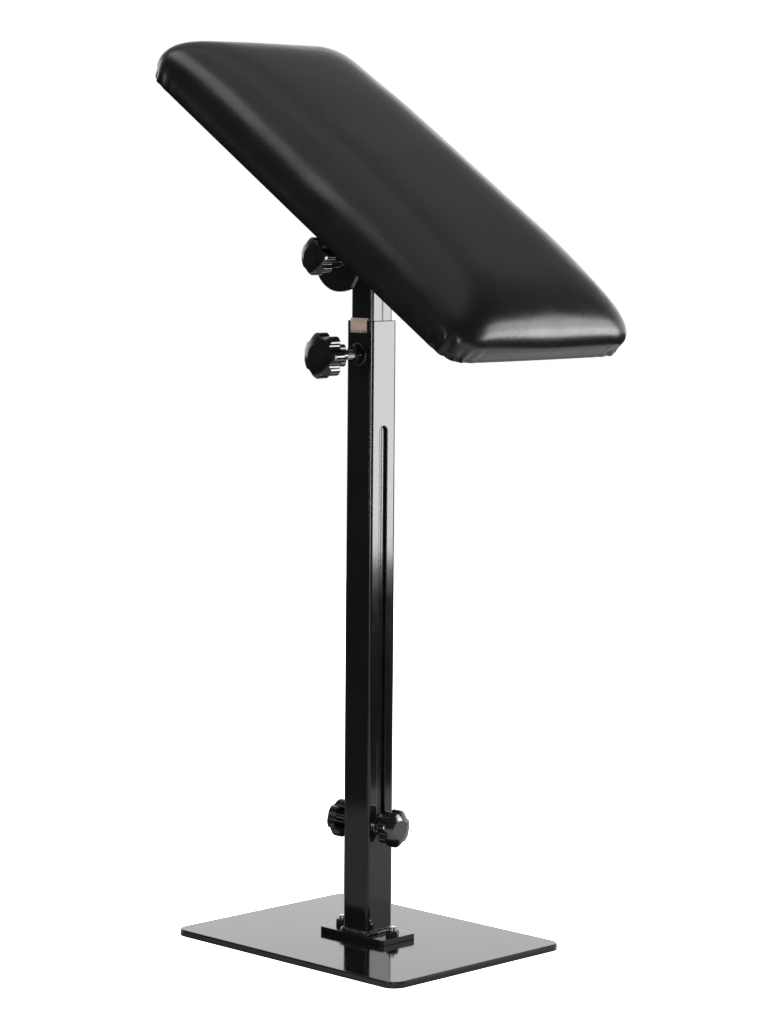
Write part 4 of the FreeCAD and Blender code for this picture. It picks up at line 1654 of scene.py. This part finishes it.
    def table(self) -> bpy.types.Object:
        """A pale table that runs back under the backdrop, with painted shade darkening the side away from the side
        panels.

        The camera sees it as clear but for a share of the object's shadow.

        Returns:
            The table.
        """
        bm = bmesh.new()
        bmesh.ops.create_grid(bm, x_segments=1, y_segments=1, size=0.5)
        left, right = self.table_sides
        bmesh.ops.scale(bm, vec=(right - left, self.table_length, 1), verts=bm.verts)
        shift(bm, bm.verts, Vector(((left + right) / 2, 0, 0)))
        rotate(bm, bm.verts, math.pi / 4, "Z")
        shift(bm, bm.verts, Vector((0, 0, -self.table_sink)))
        table = make_object(bm, "table")
        pale = Graph("pale_table")
        # painted shade: the colour darkens across the table, away from the side panels
        across = pale.along(pale.place, Vector((math.sqrt(0.5), math.sqrt(0.5), 0)))
        tone = pale.blend(
            pale.ramp(across, 0, 1, (left / 2, -left / 2)), self.table_painted_shade, self.table_pale_side)
        pale.feed(pale.shader, Base_Color=tone, Roughness=1.0)
        pale.shader.inputs["Specular IOR Level"].default_value = 0.0
        camera_ray = pale.add("ShaderNodeLightPath").outputs["Is Camera Ray"]
        seen = pale.math("MULTIPLY", camera_ray, 1 - self.shadow_strength)
        clear = pale.add("ShaderNodeBsdfTransparent")
        softer = pale.feed(pale.add("ShaderNodeMixShader"), Fac=seen)
        pale.tree.links.new(pale.shader.outputs[0], softer.inputs[1])
        pale.tree.links.new(clear.outputs[0], softer.inputs[2])
        pale.tree.links.new(
            softer.outputs[0], pale.tree.nodes["Material Output"].inputs["Surface"])
        table.data.materials.append(pale.material)
        table.is_shadow_catcher = True
        return table

    def room(self) -> bpy.types.Object:
        """The dark floor of the room round the table, which only the gloss shows.

        Returns:
            The floor.
        """
        bm = bmesh.new()
        bmesh.ops.create_circle(bm, cap_ends=True, radius=self.room_radius, segments=48)
        shift(bm, bm.verts, Vector((0, 0, -self.room_drop)))
        room = make_object(bm, "room_floor")
        dark = Graph("dark_floor")
        tone = dark.blend(dark.clouds(500 * MM, detail=2.0), self.room_dark, self.room_light)
        dark.feed(dark.shader, Base_Color=tone, Roughness=0.9)
        room.data.materials.append(dark.material)
        room.visible_camera = False
        room.visible_shadow = False
        return room

    def world(self) -> None:
        """White behind the object. Its gloss shows a backdrop, and a dim room on the near side."""
        world = bpy.data.worlds.new("studio")
        world.use_nodes = True
        bpy.context.scene.world = world
        sky = Wiring(world.node_tree)
        sky.tree.nodes.clear()
        way = sky.add("ShaderNodeTexCoord").outputs["Generated"]
        height = sky.along(way, Vector((0, 0, 1)))
        behind = sky.along(way, Vector((-math.sqrt(0.5), math.sqrt(0.5), 0)))
        backdrop = sky.ramp(behind, 0, 1, self.backdrop_side)
        tone = sky.ramp(height, self.backdrop_low, self.backdrop_high, self.backdrop_rise)
        above = sky.ramp(height, 0, 1, self.horizon)
        middle = sky.ramp(behind, 0, 1, self.backdrop_middle)
        shown = sky.math("MAXIMUM", above, middle)
        lit = sky.math("MULTIPLY", sky.math("MULTIPLY", tone, backdrop), shown)
        ceiling = sky.ramp(height, self.room_glow, self.ceiling_glow, self.ceiling_rise)
        gloss = sky.math("ADD", lit, ceiling)
        path = sky.add("ShaderNodeLightPath")
        plain = sky.math("MULTIPLY", path.outputs["Is Diffuse Ray"], self.plain_light)
        seen = sky.math("MAXIMUM", path.outputs["Is Camera Ray"], plain)
        shine = sky.math("MULTIPLY", path.outputs["Is Glossy Ray"], gloss)
        through = sky.math("MAXIMUM", path.outputs["Is Transmission Ray"], shine)
        strength = sky.math("MAXIMUM", seen, through)
        glow = sky.feed(
            sky.add("ShaderNodeBackground"), Color=(1, 1, 1, 1), Strength=strength)
        out = sky.add("ShaderNodeOutputWorld")
        sky.tree.links.new(glow.outputs[0], out.inputs["Surface"])

    def build(self) -> None:
        """Sets the stage."""
        self.camera()
        self.lights()
        table, room = self.table(), self.room()
        self.world()
        bpy.context.scene.view_settings.view_transform = "Standard"


def main() -> None:
    """Builds the stand's looks and the stage."""
    logging.basicConfig(level=logging.INFO, format="%(name)s: %(message)s")
    materials = Finishes().build()
    dress_cad_nodes(materials)
    place = PadPlace()
    Cushion(place).build(materials)
    BackSheet(place).build(materials)
    SteelWork().build(materials)
    Studio().build()


if __name__ == "__main__":
    main()
